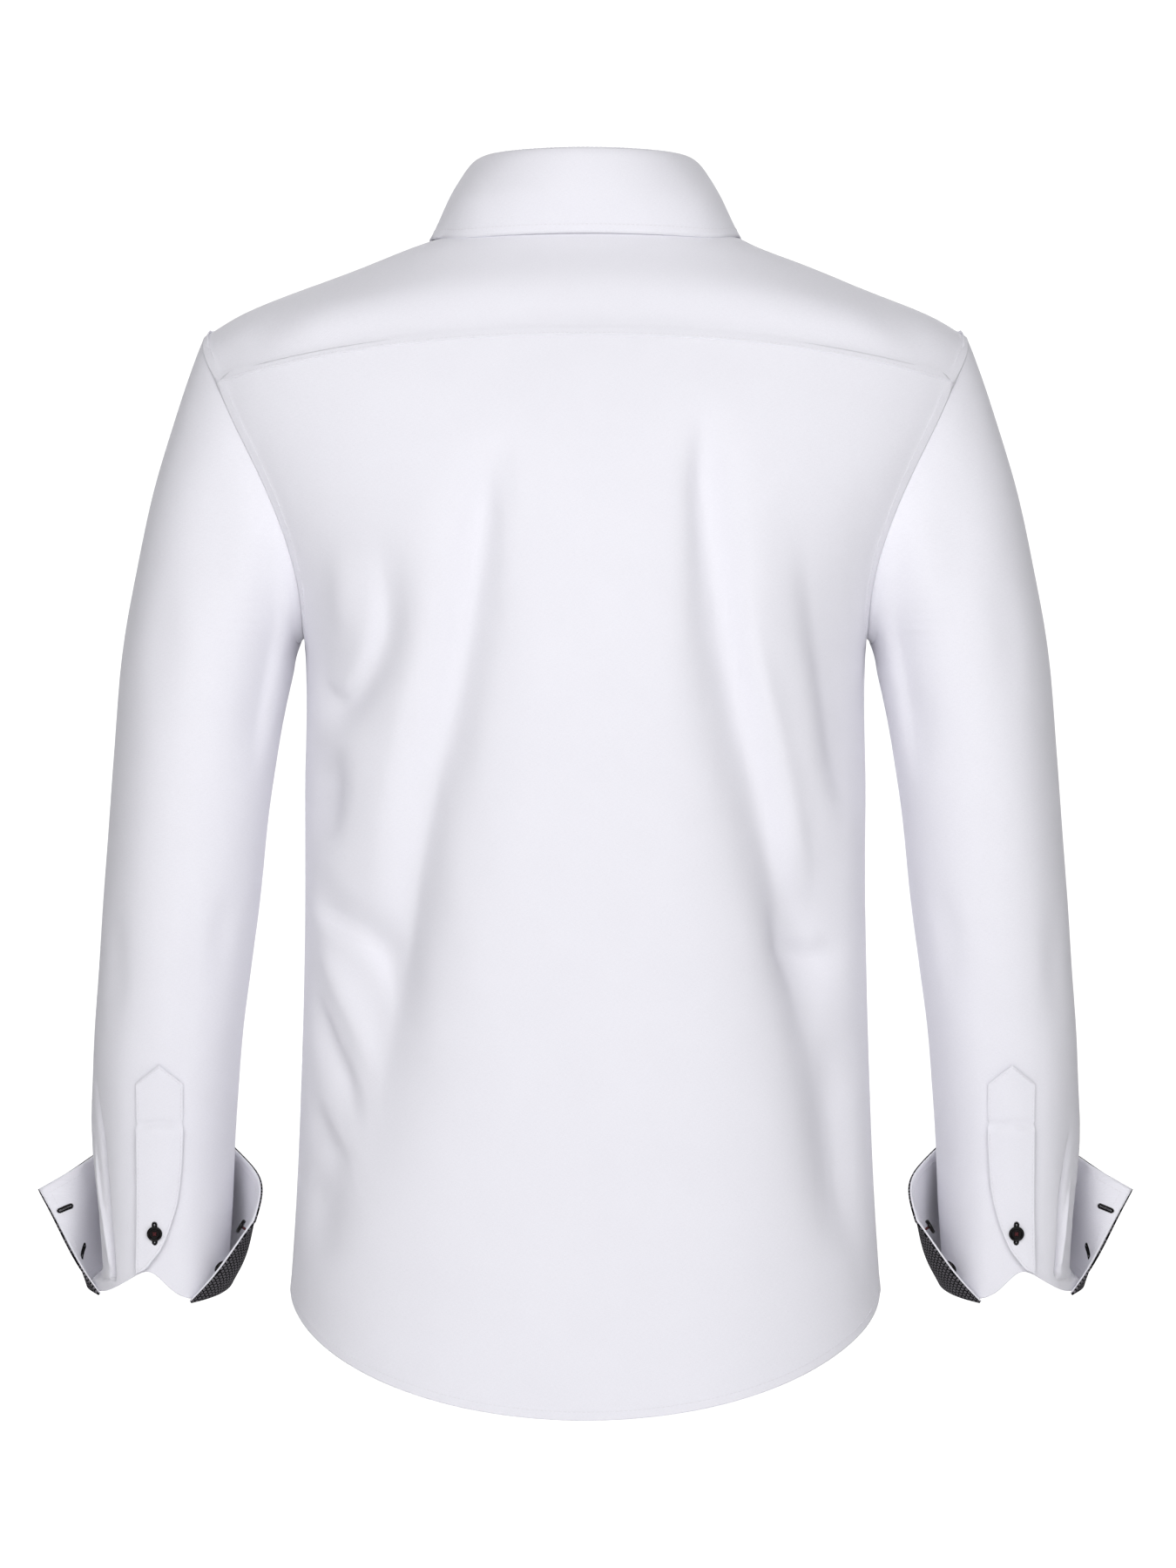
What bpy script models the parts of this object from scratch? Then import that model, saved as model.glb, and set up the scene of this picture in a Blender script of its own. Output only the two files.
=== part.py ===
"""A white button-up shirt with long sleeves, filled out as if worn, its cuffs unbuttoned and turned up.

The wearer faces -Y. The origin is at the nape, between the shoulders. Every piece of cloth is a wall
of its own: its outer points come from one smooth body, from the sleeve's sections or from the collar's
section, and its inner points lie one wall further in.
"""

import math

import bmesh
import bpy
import numpy as np

# Cloth, in metres
WALL = 0.0012  # a panel with its seam allowances
COLLAR_WALL = 0.0020  # collar stand and leaf, with their stiffening
CUFF_WALL = 0.0010  # each of a cuff's two layers
GAP = 0.0003  # between two pieces at a seam
LIFT = 0.0009  # a flat piece over a curved sleeve

# Torso: a section at each height, with half widths and depths of the back half and of the front half
TORSO_COLUMNS = ("z", "back_width", "front_width", "back_depth", "front_depth")
TORSO = (
    (0.0385, 0.0024, 0.0024, 0.0400, 0.0120),
    (0.0200, 0.0470, 0.0470, 0.0500, 0.0260),
    (0.0080, 0.0760, 0.0760, 0.0560, 0.0350),
    (-0.0030, 0.1025, 0.1025, 0.0615, 0.0420),
    (-0.0300, 0.1676, 0.1676, 0.0780, 0.0620),
    (-0.0540, 0.2255, 0.2255, 0.0925, 0.0760),
    (-0.0694, 0.2435, 0.2430, 0.1010, 0.0830),
    (-0.0886, 0.2454, 0.2420, 0.1090, 0.0920),
    (-0.1163, 0.2416, 0.2340, 0.1180, 0.1050),
    (-0.1540, 0.2217, 0.2120, 0.1262, 0.1190),
    (-0.1910, 0.1989, 0.1900, 0.1300, 0.1270),
    (-0.2218, 0.1827, 0.1790, 0.1310, 0.1310),
    (-0.2500, 0.1740, 0.1740, 0.1310, 0.1320),
    (-0.3300, 0.1736, 0.1736, 0.1260, 0.1310),
    (-0.4400, 0.1736, 0.1736, 0.1195, 0.1280),
    (-0.5300, 0.1760, 0.1760, 0.1180, 0.1270),
    (-0.6100, 0.1795, 0.1795, 0.1215, 0.1280),
    (-0.6520, 0.1825, 0.1825, 0.1235, 0.1290),
    (-0.7400, 0.1865, 0.1865, 0.1260, 0.1300),
)
ROUNDNESS = 2.3  # exponent of each section: 2 is an ellipse, more is squarer

# Armhole
ARMHOLE_TOP = -0.060
ARMHOLE_BOTTOM = -0.250
ARMHOLE_HALF_DEPTH = 0.068
YOKE_BACK_ANGLE = math.radians(50.8)  # where the yoke's back seam meets the armhole, from its top
YOKE_FRONT_ANGLE = math.radians(-32)

# Seams and edges of the torso
NECK_CENTRE_Y = -0.014
NECK_HALF_WIDTH = 0.068
NECK_HALF_DEPTH = 0.070
YOKE_SEAM_Z = -0.0694  # at the centre of the back
YOKE_SEAM_DROP = 0.0256  # from there to the armhole
YOKE_FRONT_Y = -0.040  # front seam, beside the collar
SIDE_HEM_Z = -0.652
BACK_TAIL = 0.0664  # how far the hem drops below the side seams
FRONT_TAIL = 0.048
HEM_ROUND = 0.62  # exponent of the shirt tail's curve
BAND_HALF_WIDTH = 0.016  # button stand, down the centre of the front
UNDER_DEPTH = 1.15 * (WALL + GAP)  # of the right front's band, under the left one's
UNDER_START = 0.002  # past the band, where the right front starts to come out again
UNDER_FADE = 0.020

# Largest folds of the torso's cloth, as soft troughs (depth above 0) and ridges (below 0), each from its
# top, past its middle, to its foot. Side is +1 for the back half and -1 for the front half.
FOLD_COLUMNS = ("side", "top_x", "top_z", "mid_x", "mid_z", "foot_x", "foot_z", "width", "depth")
TORSO_FOLDS = (
    (1, 0.054, -0.165, 0.066, -0.330, 0.108, -0.545, 0.013, 0.0040),
    (1, 0.072, -0.190, 0.096, -0.320, 0.130, -0.410, 0.014, -0.0028),
    (1, -0.068, -0.150, -0.080, -0.300, -0.114, -0.505, 0.015, 0.0045),
    (1, -0.086, -0.200, -0.110, -0.310, -0.138, -0.415, 0.014, -0.0030),
    (1, -0.114, -0.410, -0.140, -0.430, -0.166, -0.445, 0.010, 0.0030),
    (1, 0.122, -0.190, 0.124, -0.250, 0.144, -0.285, 0.012, 0.0035),
    (1, 0.144, -0.285, 0.154, -0.275, 0.164, -0.255, 0.009, 0.0030),
    (1, 0.160, -0.415, 0.144, -0.440, 0.128, -0.462, 0.010, 0.0030),
    (1, -0.122, -0.180, -0.134, -0.290, -0.166, -0.425, 0.013, 0.0035),
    (-1, 0.060, -0.170, 0.085, -0.280, 0.125, -0.400, 0.016, 0.0035),
    (-1, -0.064, -0.180, -0.080, -0.290, -0.118, -0.420, 0.016, 0.0035),
    (-1, 0.100, -0.470, 0.110, -0.540, 0.112, -0.610, 0.015, 0.0030),
    (-1, -0.096, -0.450, -0.112, -0.530, -0.118, -0.600, 0.015, 0.0030),
)

# Sleeve: a ring at each height, tilted as it nears the cuff. The left sleeve is stated, and x grows outward.
SLEEVE_COLUMNS = ("z", "centre_x", "half_width", "centre_y", "half_depth")
SLEEVE = (
    (-0.270, 0.2340, 0.0553, 0.0000, 0.0640),
    (-0.300, 0.2393, 0.0523, 0.0000, 0.0625),
    (-0.330, 0.2434, 0.0509, -0.0010, 0.0610),
    (-0.380, 0.2478, 0.0496, -0.0040, 0.0595),
    (-0.440, 0.2542, 0.0487, -0.0120, 0.0580),
    (-0.500, 0.2605, 0.0468, -0.0220, 0.0555),
    (-0.557, 0.2646, 0.0459, -0.0330, 0.0530),
    (-0.652, 0.2676, 0.0437, -0.0500, 0.0500),
)
SLEEVE_FOOT_Z = -0.652
SLEEVE_FOOT_TILT = 0.009  # how far the back of the foot hangs below its sides
SLEEVE_TWIST = math.radians(3.9)  # of the foot round the sleeve
SLIT_ANGLE = math.radians(87)  # the sleeve's opening, from the outer edge towards the back
SLIT_DEPTH = 0.0233
SLIT_OUTER_REACH = math.radians(53)
SLIT_INNER_REACH = math.radians(27)
SLEEVE_FOLD_COLUMNS = ("top_angle", "top_z", "foot_angle", "foot_z", "reach", "depth")
SLEEVE_FOLDS = (
    (150, -0.170, 168, -0.262, 20, 0.0035),
    (30, -0.520, 36, -0.648, 13, 0.0028),
    (5, -0.540, 16, -0.648, 13, -0.0025),
    (-120, -0.350, -60, -0.385, 24, 0.0030),
    (-140, -0.400, -80, -0.425, 24, 0.0025),
)


def column(columns, rows, name):
    return np.array([row[columns.index(name)] for row in rows], float)


def smooth_through(knots, values, at):
    """A smooth curve through values at rising knots."""
    slopes = np.gradient(values, knots)
    at = np.clip(at, knots[0], knots[-1])
    i = np.clip(np.searchsorted(knots, at) - 1, 0, len(knots) - 2)
    step = knots[i + 1] - knots[i]
    s = (at - knots[i]) / step
    bend = values[i] * (1 + 2 * s) * (1 - s) ** 2 + values[i + 1] * s * s * (3 - 2 * s)
    return bend + step * (slopes[i] * s * (1 - s) ** 2 - slopes[i + 1] * s * s * (1 - s))


def read_table(columns, rows, name, z):
    """One column of a table of sections, whose heights fall from row to row."""
    return smooth_through(column(columns, rows, "z")[::-1], column(columns, rows, name)[::-1], z)


def smooth_step(low, high, value):
    s = np.clip((value - low) / (high - low), 0, 1)
    return s * s * (3 - 2 * s)


def unit(vectors):
    return vectors / np.linalg.norm(vectors, axis=-1, keepdims=True)


# --- the torso's surface ---


def torso_section(y, z):
    back = y >= 0
    width = np.where(
        back,
        read_table(TORSO_COLUMNS, TORSO, "back_width", z),
        read_table(TORSO_COLUMNS, TORSO, "front_width", z),
    )
    depth = np.where(
        back,
        read_table(TORSO_COLUMNS, TORSO, "back_depth", z),
        read_table(TORSO_COLUMNS, TORSO, "front_depth", z),
    )
    return width, depth


def outside(x, y, z):
    """Above 0 outside the torso, and below 0 inside it."""
    width, depth = torso_section(y, z)
    return (np.abs(x) / width) ** ROUNDNESS + (np.abs(y) / depth) ** ROUNDNESS - 1


def at_angle(angle, z):
    """The torso's point at an angle from the centre of the back, positive towards +X."""
    angle, z = np.broadcast_arrays(angle, z)
    across, along = np.sin(angle), np.cos(angle)
    width, depth = torso_section(along, z)
    reach = (np.abs(across) / width) ** ROUNDNESS + (np.abs(along) / depth) ** ROUNDNESS
    reach = reach ** (-1 / ROUNDNESS)
    return np.stack([reach * across, reach * along, z], -1)


def at_x(x, z, side):
    """The torso's point at a given x and height, on the back (side 1) or the front (side -1)."""
    x, z = np.broadcast_arrays(x, z)
    width, depth = torso_section(side + 0 * z, z)
    rest = np.clip(1 - (np.abs(x) / width) ** ROUNDNESS, 0, 1)
    return np.stack([x, side * depth * rest ** (1 / ROUNDNESS), z], -1)


def nearest_outside(place, reach):
    """The first point along straight lines, place(0) to place(reach), where the torso ends."""
    low, high = 0 * reach, reach
    for _ in range(40):
        middle = (low + high) / 2
        beyond = outside(*place(middle)) > 0
        low, high = np.where(beyond, low, middle), np.where(beyond, middle, high)
    return np.stack(place(low), -1)


def on_top(x, y):
    """The torso's point above a place in plan, beside the collar."""
    x, y = np.broadcast_arrays(x, y)
    return nearest_outside(lambda rise: (x, y, rise - 0.13), np.full(x.shape, 0.13 + TORSO[0][0]))


def shoulder_axis(x):
    """Height of a line inside each shoulder, under its ridge."""
    return 0.0095 - 0.4146 * np.abs(x)


def over_shoulder(x, angle):
    """The torso's point at a given x and at an angle round the shoulder, positive towards the back."""
    x, angle = np.broadcast_arrays(x, angle)
    axis = shoulder_axis(x)
    across, up = np.sin(angle), np.cos(angle)
    return nearest_outside(lambda far: (x, far * across, axis + far * up), np.full(x.shape, 0.13))


def x_and_angle(points):
    height = points[..., 2] - shoulder_axis(points[..., 0])
    return np.stack([points[..., 0], np.arctan2(points[..., 1], height)], -1)


def angle_and_height(points):
    return np.stack([np.arctan2(points[..., 0], points[..., 1]), points[..., 2]], -1)


def torso_normal(points):
    x, y, z = np.moveaxis(points, -1, 0)
    h = 0.0004
    y = np.where(np.abs(y) < h, h * np.where(y < 0, -1.0, 1.0), y)
    slope = [
        outside(x + h, y, z) - outside(x - h, y, z),
        outside(x, y + h, z) - outside(x, y - h, z),
        outside(x, y, z + h) - outside(x, y, z - h),
    ]
    return unit(np.stack(slope, -1))


def distance_to_path(across, z, top, middle, foot):
    """Distance from points to the smooth path through three points, and how far along it that is."""
    s = np.linspace(0, 1, 13)[:, None]
    bend = 2 * np.array(middle) - (np.array(top) + np.array(foot)) / 2
    path = (1 - s) ** 2 * np.array(top) + 2 * s * (1 - s) * bend + s * s * np.array(foot)
    best, along = np.full(across.shape, np.inf), np.zeros(across.shape)
    for i in range(len(path) - 1):
        start, step = path[i], path[i + 1] - path[i]
        t = ((across - start[0]) * step[0] + (z - start[1]) * step[1]) / (step @ step)
        t = np.clip(t, 0, 1)
        far = np.hypot(across - start[0] - t * step[0], z - start[1] - t * step[1])
        along = np.where(far < best, (i + t) / (len(path) - 1), along)
        best = np.minimum(best, far)
    return best, along


def torso_folds(points):
    """How far the folds move the cloth out, at each point."""
    x, y, z = np.moveaxis(points, -1, 0)
    move = np.zeros(x.shape)
    for row in TORSO_FOLDS:
        fold = dict(zip(FOLD_COLUMNS, row))
        top = (fold["top_x"], fold["top_z"])
        middle = (fold["mid_x"], fold["mid_z"])
        foot = (fold["foot_x"], fold["foot_z"])
        far, along = distance_to_path(x, z, top, middle, foot)
        fade = np.sqrt(np.clip(4 * along * (1 - along), 0, 1))
        depth = fold["depth"] * np.exp(-((far / fold["width"]) ** 2)) * fade
        move -= np.where(y * fold["side"] > 0, depth, 0)
    return move


def dressed(points):
    """The torso's points with the folds, and their normals."""
    normals = torso_normal(points)
    return points + torso_folds(points)[..., None] * normals, normals


# --- grids of points, and the walls made from them ---


def patch(low, high, start, end):
    """A grid between four edges: low and high run along it, start and end run from low to high."""
    s = np.linspace(0, 1, len(low))[:, None]
    t = np.linspace(0, 1, len(start))[:, None, None]
    low_bend = low - (1 - s) * low[0] - s * low[-1]
    high_bend = high - (1 - s) * high[0] - s * high[-1]
    return (1 - s) * start[:, None] + s * end[:, None] + (1 - t) ** 3 * low_bend + t**3 * high_bend


def plain_material(name, colour, roughness):
    material = bpy.data.materials.new(name)
    material.use_nodes = True
    surface = material.node_tree.nodes["Principled BSDF"]
    surface.inputs["Base Color"].default_value = (*colour, 1)
    surface.inputs["Roughness"].default_value = roughness
    surface.inputs["Metallic"].default_value = 0
    material.diffuse_color = (*colour, 1)
    return material


def add_object(name, shape, material):
    bmesh.ops.recalc_face_normals(shape, faces=shape.faces)
    mesh = bpy.data.meshes.new(name)
    shape.to_mesh(mesh)
    shape.free()
    mesh.shade_smooth()
    mesh.set_sharp_from_angle(angle=math.radians(40))
    mesh.materials.append(material)
    piece = bpy.data.objects.new(name, mesh)
    bpy.context.scene.collection.objects.link(piece)
    return piece


def add_wall(name, outer, inner, material, closed=False, split=False):
    """A closed wall between two grids of points. A closed wall joins its last column to its first.

    Split cells all share one diagonal, so that layers over each other stay parallel where they twist.
    """
    rows, columns = outer.shape[:2]
    shape = bmesh.new()
    sheets = [
        [[shape.verts.new(point) for point in row] for row in grid.tolist()] for grid in (outer, inner)
    ]
    loops = []
    last = columns if closed else columns - 1
    for i in range(rows - 1):
        for j in range(last):
            k = (j + 1) % columns
            if split:
                loops += [((i, j), (i, k), (i + 1, k)), ((i, j), (i + 1, k), (i + 1, j))]
            else:
                loops.append(((i, j), (i, k), (i + 1, k), (i + 1, j)))
    for sheet in sheets:
        for loop in loops:
            shape.faces.new([sheet[i][j] for i, j in loop])
    rims = [((i, j), (i, (j + 1) % columns)) for i in (0, rows - 1) for j in range(last)]
    if not closed:
        rims += [((i, j), (i + 1, j)) for j in (0, columns - 1) for i in range(rows - 1)]
    for (i, j), (k, m) in rims:
        shape.faces.new([sheets[0][i][j], sheets[0][k][m], sheets[1][k][m], sheets[1][i][j]])
    return add_object(name, shape, material)


def mirrored(grid):
    """The same piece on the other side."""
    return grid * np.array([-1, 1, 1])


# --- the sleeve's surface, and the seam that it shares with the torso ---


def armhole(angle):
    """The left armhole's seam, by its angle from the top, positive over the back."""
    angle = np.asarray(angle, float)
    centre, half = (ARMHOLE_TOP + ARMHOLE_BOTTOM) / 2, (ARMHOLE_TOP - ARMHOLE_BOTTOM) / 2
    z = centre + half * np.cos(angle)
    y = ARMHOLE_HALF_DEPTH * np.sin(angle)
    width, depth = torso_section(y, z)
    x = width * (1 - (np.abs(y) / depth) ** ROUNDNESS) ** (1 / ROUNDNESS)
    return np.stack([x, y, z], -1)


def sleeve_ring(angle, z):
    """The left sleeve's section at a height, before it is tilted."""
    centre_x = read_table(SLEEVE_COLUMNS, SLEEVE, "centre_x", z)
    half_width = read_table(SLEEVE_COLUMNS, SLEEVE, "half_width", z)
    centre_y = read_table(SLEEVE_COLUMNS, SLEEVE, "centre_y", z)
    half_depth = read_table(SLEEVE_COLUMNS, SLEEVE, "half_depth", z)
    x, y = centre_x + half_width * np.cos(angle), centre_y + half_depth * np.sin(angle)
    return np.stack([x, y, z + 0 * angle], -1)


def sleeve_start(angle):
    """The direction in which the sleeve leaves its seam."""
    reach = sleeve_ring(angle, SLEEVE[0][0] + 0 * angle) - armhole(angle)
    start = unit(reach)
    start[..., 0] += 0.15 + 0.25 * np.sin(angle) ** 2
    return unit(start)


def sleeve_cap(angle, share):
    """From the armhole (share 0) to the first ring (share 1)."""
    top, foot = armhole(angle), sleeve_ring(angle, SLEEVE[0][0] + 0 * angle)
    length = np.linalg.norm(foot - top, axis=-1, keepdims=True)
    leave, arrive = sleeve_start(angle) * length, np.array([0.12, 0, -0.99]) * length
    s = share[..., None]
    bend = top * (1 + 2 * s) * (1 - s) ** 2 + foot * s * s * (3 - 2 * s)
    return bend + leave * s * (1 - s) ** 2 - arrive * s * s * (1 - s)


def slit_rise(angle):
    """How far the foot rises at the back, where the opening's two edges part."""
    far = (angle - SLIT_ANGLE + math.pi) % (2 * math.pi) - math.pi
    share = np.where(far < 0, 1 + far / SLIT_OUTER_REACH, 1 - far / SLIT_INNER_REACH)
    return SLIT_DEPTH * np.clip(share, 0, 1) ** 1.3


def foot_height(angle):
    return SLEEVE_FOOT_Z - SLEEVE_FOOT_TILT * np.sin(angle) + slit_rise(angle)


def sleeve_tube(angle, share):
    """From the first ring (share 0) to the sleeve's foot (share 1)."""
    turned = angle + SLEEVE_TWIST * share
    foot = foot_height(turned)
    z = SLEEVE[0][0] + (foot - SLEEVE[0][0]) * share
    flat = SLEEVE[0][0] + (SLEEVE_FOOT_Z - SLEEVE[0][0]) * share
    points = sleeve_ring(turned, np.maximum(flat, z))
    points[..., 2] = z
    return points


def sleeve_folds(points, angle):
    z = points[..., 2]
    move = np.zeros(z.shape)
    for row in SLEEVE_FOLDS:
        fold = dict(zip(SLEEVE_FOLD_COLUMNS, row))
        along = (z - fold["top_z"]) / (fold["foot_z"] - fold["top_z"])
        middle = fold["top_angle"] + (fold["foot_angle"] - fold["top_angle"]) * np.clip(along, 0, 1)
        far = (np.degrees(angle) - middle + 180) % 360 - 180
        fade = np.clip(4 * along * (1.25 - along), 0, 1)
        move -= fold["depth"] * np.exp(-((far / fold["reach"]) ** 2)) * fade
    return move


def grid_normals(grid, closed):
    """Normals of a grid whose rows run down and whose columns run round, found from its neighbours."""
    down = np.gradient(grid, axis=0)
    if closed:
        across = (np.roll(grid, -1, 1) - np.roll(grid, 1, 1)) / 2
    else:
        across = np.gradient(grid, axis=1)
    return unit(np.cross(across, down))


def armhole_seam(angle):
    """At each angle: the point, the way from torso to sleeve, and each wall's own way in."""
    point = armhole(angle)
    step = 0.01
    along = unit(armhole(angle + step) - armhole(angle - step))
    torso_out = torso_normal(point)
    torso_away = unit(np.cross(torso_out, along))
    from_middle = point - np.array([0, 0, (ARMHOLE_TOP + ARMHOLE_BOTTOM) / 2])
    from_middle[..., 0] = 0
    torso_away *= np.sign((torso_away * from_middle).sum(-1, keepdims=True))
    sleeve_away = sleeve_start(angle)
    sleeve_away = unit(sleeve_away - (sleeve_away * along).sum(-1, keepdims=True) * along)
    sleeve_out = unit(np.cross(along, sleeve_away))
    round_it = np.stack([np.cos(angle), np.sin(angle), 0 * angle], -1)
    sleeve_out *= np.sign((round_it * sleeve_out).sum(-1, keepdims=True))
    part_way = unit(sleeve_away - torso_away)
    shared = unit(torso_out + sleeve_out)
    bent_in = (sleeve_away * torso_out).sum(-1, keepdims=True) < 0
    return {
        "point": point,
        "parting": part_way,
        "torso_in": -np.where(bent_in, shared, torso_out),
        "sleeve_in": -np.where(bent_in, shared, sleeve_out),
    }


# --- the columns and rows that the panels share ---

BACK_STEPS = 8  # of the armhole, from the yoke's back seam to the armpit
YOKE_STEPS = 4
FRONT_STEPS = 8
SIDE_ROWS = 11  # from the hem to the armpit
BACK_COLUMNS = 24
NECK_STEPS = 6  # of the yoke's neckline, to each side of its centre
SHOULDER_STEPS = 6  # of the yoke's front seam
FRONT_NECK_STEPS = 5  # of each front's neckline, to the edge of the band
CAP_ROWS = 6  # of the sleeve, above the armpit
TUBE_ROWS = 10
SLIT_COLUMNS = 3  # of the sleeve's ring, that the cuff's slit skips

back_angles = np.linspace(YOKE_BACK_ANGLE, math.pi, BACK_STEPS + 1)
yoke_angles = np.linspace(YOKE_BACK_ANGLE, YOKE_FRONT_ANGLE, YOKE_STEPS + 1)
front_angles = np.linspace(YOKE_FRONT_ANGLE, -math.pi, FRONT_STEPS + 1)
seam_turn = GAP / 2 / ((ARMHOLE_TOP - ARMHOLE_BOTTOM) / 2)  # half a gap along the armhole
side_turn = GAP / 2 / 0.174  # half a gap at a side seam, as an angle

neck_front_angle = math.acos((YOKE_FRONT_Y - NECK_CENTRE_Y) / NECK_HALF_DEPTH)
neck_band_angle = math.pi - math.asin(BAND_HALF_WIDTH / NECK_HALF_WIDTH)


def neckline(angle):
    """The neck opening's edge, by its angle from the centre of the back."""
    return on_top(NECK_HALF_WIDTH * np.sin(angle), NECK_CENTRE_Y + NECK_HALF_DEPTH * np.cos(angle))


def yoke_seam_z(x):
    return YOKE_SEAM_Z - YOKE_SEAM_DROP * (np.abs(x) / armhole(YOKE_BACK_ANGLE)[0]) ** 2.2


def hem(angle, tail):
    """The hem at an angle from the centre of the back."""
    level = at_angle(angle, SIDE_HEM_Z)
    share = np.clip(np.abs(level[..., 0]) / torso_section(1, SIDE_HEM_Z)[0], 0, 1)
    z = SIDE_HEM_Z - tail * np.clip(1 - share**2, 0, 1) ** HEM_ROUND
    return at_angle(angle, z)


def side_edge(angles):
    """The left edge of a back or a front: up the side seam, and then along the armhole."""
    side = np.sign(angles[0])
    z = np.linspace(SIDE_HEM_Z, ARMHOLE_BOTTOM, SIDE_ROWS + 1)[:-1]
    seam = at_angle(math.pi / 2 - side * side_turn + 0 * z, z)
    return np.concatenate([seam, armhole(angles[::-1])])


def edge_at_armhole(outer, inner, rows, columns, angles, part):
    """Puts a panel's points on the armhole's seam. part is -1 for the torso and +1 for the sleeve."""
    seam = armhole_seam(angles)
    edge = seam["point"] + part * seam["parting"] * GAP / 2
    way_in = seam["torso_in"] if part < 0 else seam["sleeve_in"]
    outer[rows, columns] = edge
    inner[rows, columns] = edge + way_in * WALL
    return outer, inner


# --- back, yoke and fronts ---


def build_back(material):
    half = BACK_COLUMNS // 2
    angles = back_angles.copy()
    angles[[0, -1]] += seam_turn, -seam_turn
    edge = side_edge(angles)
    x = np.linspace(0, 1, half + 1) * armhole(angles[0])[0]
    top = at_x(x, yoke_seam_z(x) - GAP / 2, 1)
    top[-1] = armhole(angles[0])
    foot = hem(np.linspace(0, math.pi / 2 - side_turn, half + 1), BACK_TAIL)
    centre_z = np.linspace(foot[0][2], top[0][2], len(edge))
    centre = at_angle(0 * centre_z, centre_z)
    grid = patch(*(angle_and_height(line) for line in (foot, top, centre, edge)))
    outer, normals = dressed(at_angle(grid[..., 0], grid[..., 1]))
    right, right_normals = dressed(mirrored(at_angle(grid[..., 0], grid[..., 1])))
    inner, right_inner = outer - WALL * normals, right - WALL * right_normals
    rows = np.arange(SIDE_ROWS, len(edge))
    for sheets, mirror in (((outer, inner), 1), ((right, right_inner), -1)):
        sheets = [grid * np.array([mirror, 1, 1]) for grid in sheets]
        edge_at_armhole(*sheets, rows, -1, angles[::-1], -1)
        if mirror == 1:
            outer, inner = sheets
        else:
            right, right_inner = (mirrored(grid) for grid in sheets)
    outer = np.concatenate([right[:, :0:-1], outer], 1)
    inner = np.concatenate([right_inner[:, :0:-1], inner], 1)
    add_wall("back_panel", outer, inner, material)


def build_yoke(material):
    half = NECK_STEPS + SHOULDER_STEPS
    angles = yoke_angles.copy()
    angles[0] -= seam_turn
    angles[-1] += seam_turn
    edge = armhole(angles)
    x = np.linspace(0, 1, half + 1) * edge[0][0]
    back = at_x(x, yoke_seam_z(x) + GAP / 2, 1)
    back[-1] = edge[0]
    neck = neckline(np.linspace(0, neck_front_angle, NECK_STEPS + 1))
    across = np.linspace(0, 1, SHOULDER_STEPS + 1)[1:, None]
    shoulder = neck[-1] + across * (edge[-1] - neck[-1])
    shoulder = on_top(shoulder[:, 0], shoulder[:, 1])
    shoulder[-1] = edge[-1]
    front = np.concatenate([neck, shoulder])
    front[NECK_STEPS:-1, 1] += GAP / 2
    centre = np.linspace(back[0], front[0], len(edge))
    grid = patch(*(x_and_angle(line) for line in (back, front, centre, edge)))
    sheets = []
    for mirror in (1, -1):
        points, normals = dressed(over_shoulder(mirror * grid[..., 0], grid[..., 1]))
        walls = [points * np.array([mirror, 1, 1]), (points - WALL * normals) * np.array([mirror, 1, 1])]
        edge_at_armhole(*walls, np.arange(len(edge)), -1, angles, -1)
        sheets.append([wall * np.array([mirror, 1, 1]) for wall in walls])
    joined = [np.concatenate([right[:, :0:-1], left], 1) for left, right in zip(*sheets)]
    add_wall("yoke", *joined, material)


def front_grid():
    """The left front's place by angle and height, from its band out to the side."""
    angles = front_angles.copy()
    angles[[0, -1]] += -seam_turn, seam_turn
    edge = side_edge(angles)
    neck = neckline(np.linspace(neck_band_angle, neck_front_angle, FRONT_NECK_STEPS + 1))
    corner = armhole(angles[0])
    across = np.linspace(0, 1, SHOULDER_STEPS + 1)[1:, None]
    shoulder = neck[-1] + across * (corner - neck[-1])
    top = np.concatenate([neck, shoulder])
    top[FRONT_NECK_STEPS:, 1] -= GAP / 2
    top = on_top(top[:, 0], top[:, 1])
    top[-1] = corner
    foot_depth = column(TORSO_COLUMNS, TORSO, "front_depth")[-1]
    band_foot = math.pi - math.atan(BAND_HALF_WIDTH / foot_depth)
    foot = hem(np.linspace(band_foot, math.pi / 2 + side_turn, len(top)), FRONT_TAIL)
    band_z = np.linspace(foot[0][2], top[0][2], len(edge))
    band = at_x(BAND_HALF_WIDTH + 0 * band_z, band_z, -1)
    foot[0] = band[0]
    return patch(*(angle_and_height(line) for line in (foot, top, band, edge))), angles


def build_fronts(material):
    grid, angles = front_grid()
    panel = at_angle(grid[..., 0], grid[..., 1])
    edge = at_x(-panel[:, :1, 0], panel[:, :1, 2], -1)
    panel = np.concatenate([edge, panel], 1)
    rows = np.arange(SIDE_ROWS, len(panel))
    made = {}
    for name, mirror in (("front_left", 1), ("front_right", -1)):
        points = panel * np.array([mirror, 1, 1])
        outer, normals = dressed(points)
        if mirror < 0:  # its band lies under the left one
            under_edge = BAND_HALF_WIDTH + UNDER_START
            under = 1 - smooth_step(under_edge, under_edge + UNDER_FADE, np.abs(points[..., 0]))
            outer = outer - UNDER_DEPTH * under[..., None] * normals
        inner = outer - WALL * normals
        walls = [grid * np.array([mirror, 1, 1]) for grid in (outer, inner)]
        edge_at_armhole(*walls, rows, -1, angles[::-1], -1)
        walls = [grid * np.array([mirror, 1, 1]) for grid in walls]
        add_wall(name, *walls, material)
        made[name] = walls[0], normals
    return made


def build_band(fronts, material):
    outer, normals = fronts["front_left"]
    under = outer[:, :2] + GAP * normals[:, :2]
    add_wall("front_placket", under + CUFF_WALL * normals[:, :2], under, material)


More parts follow.
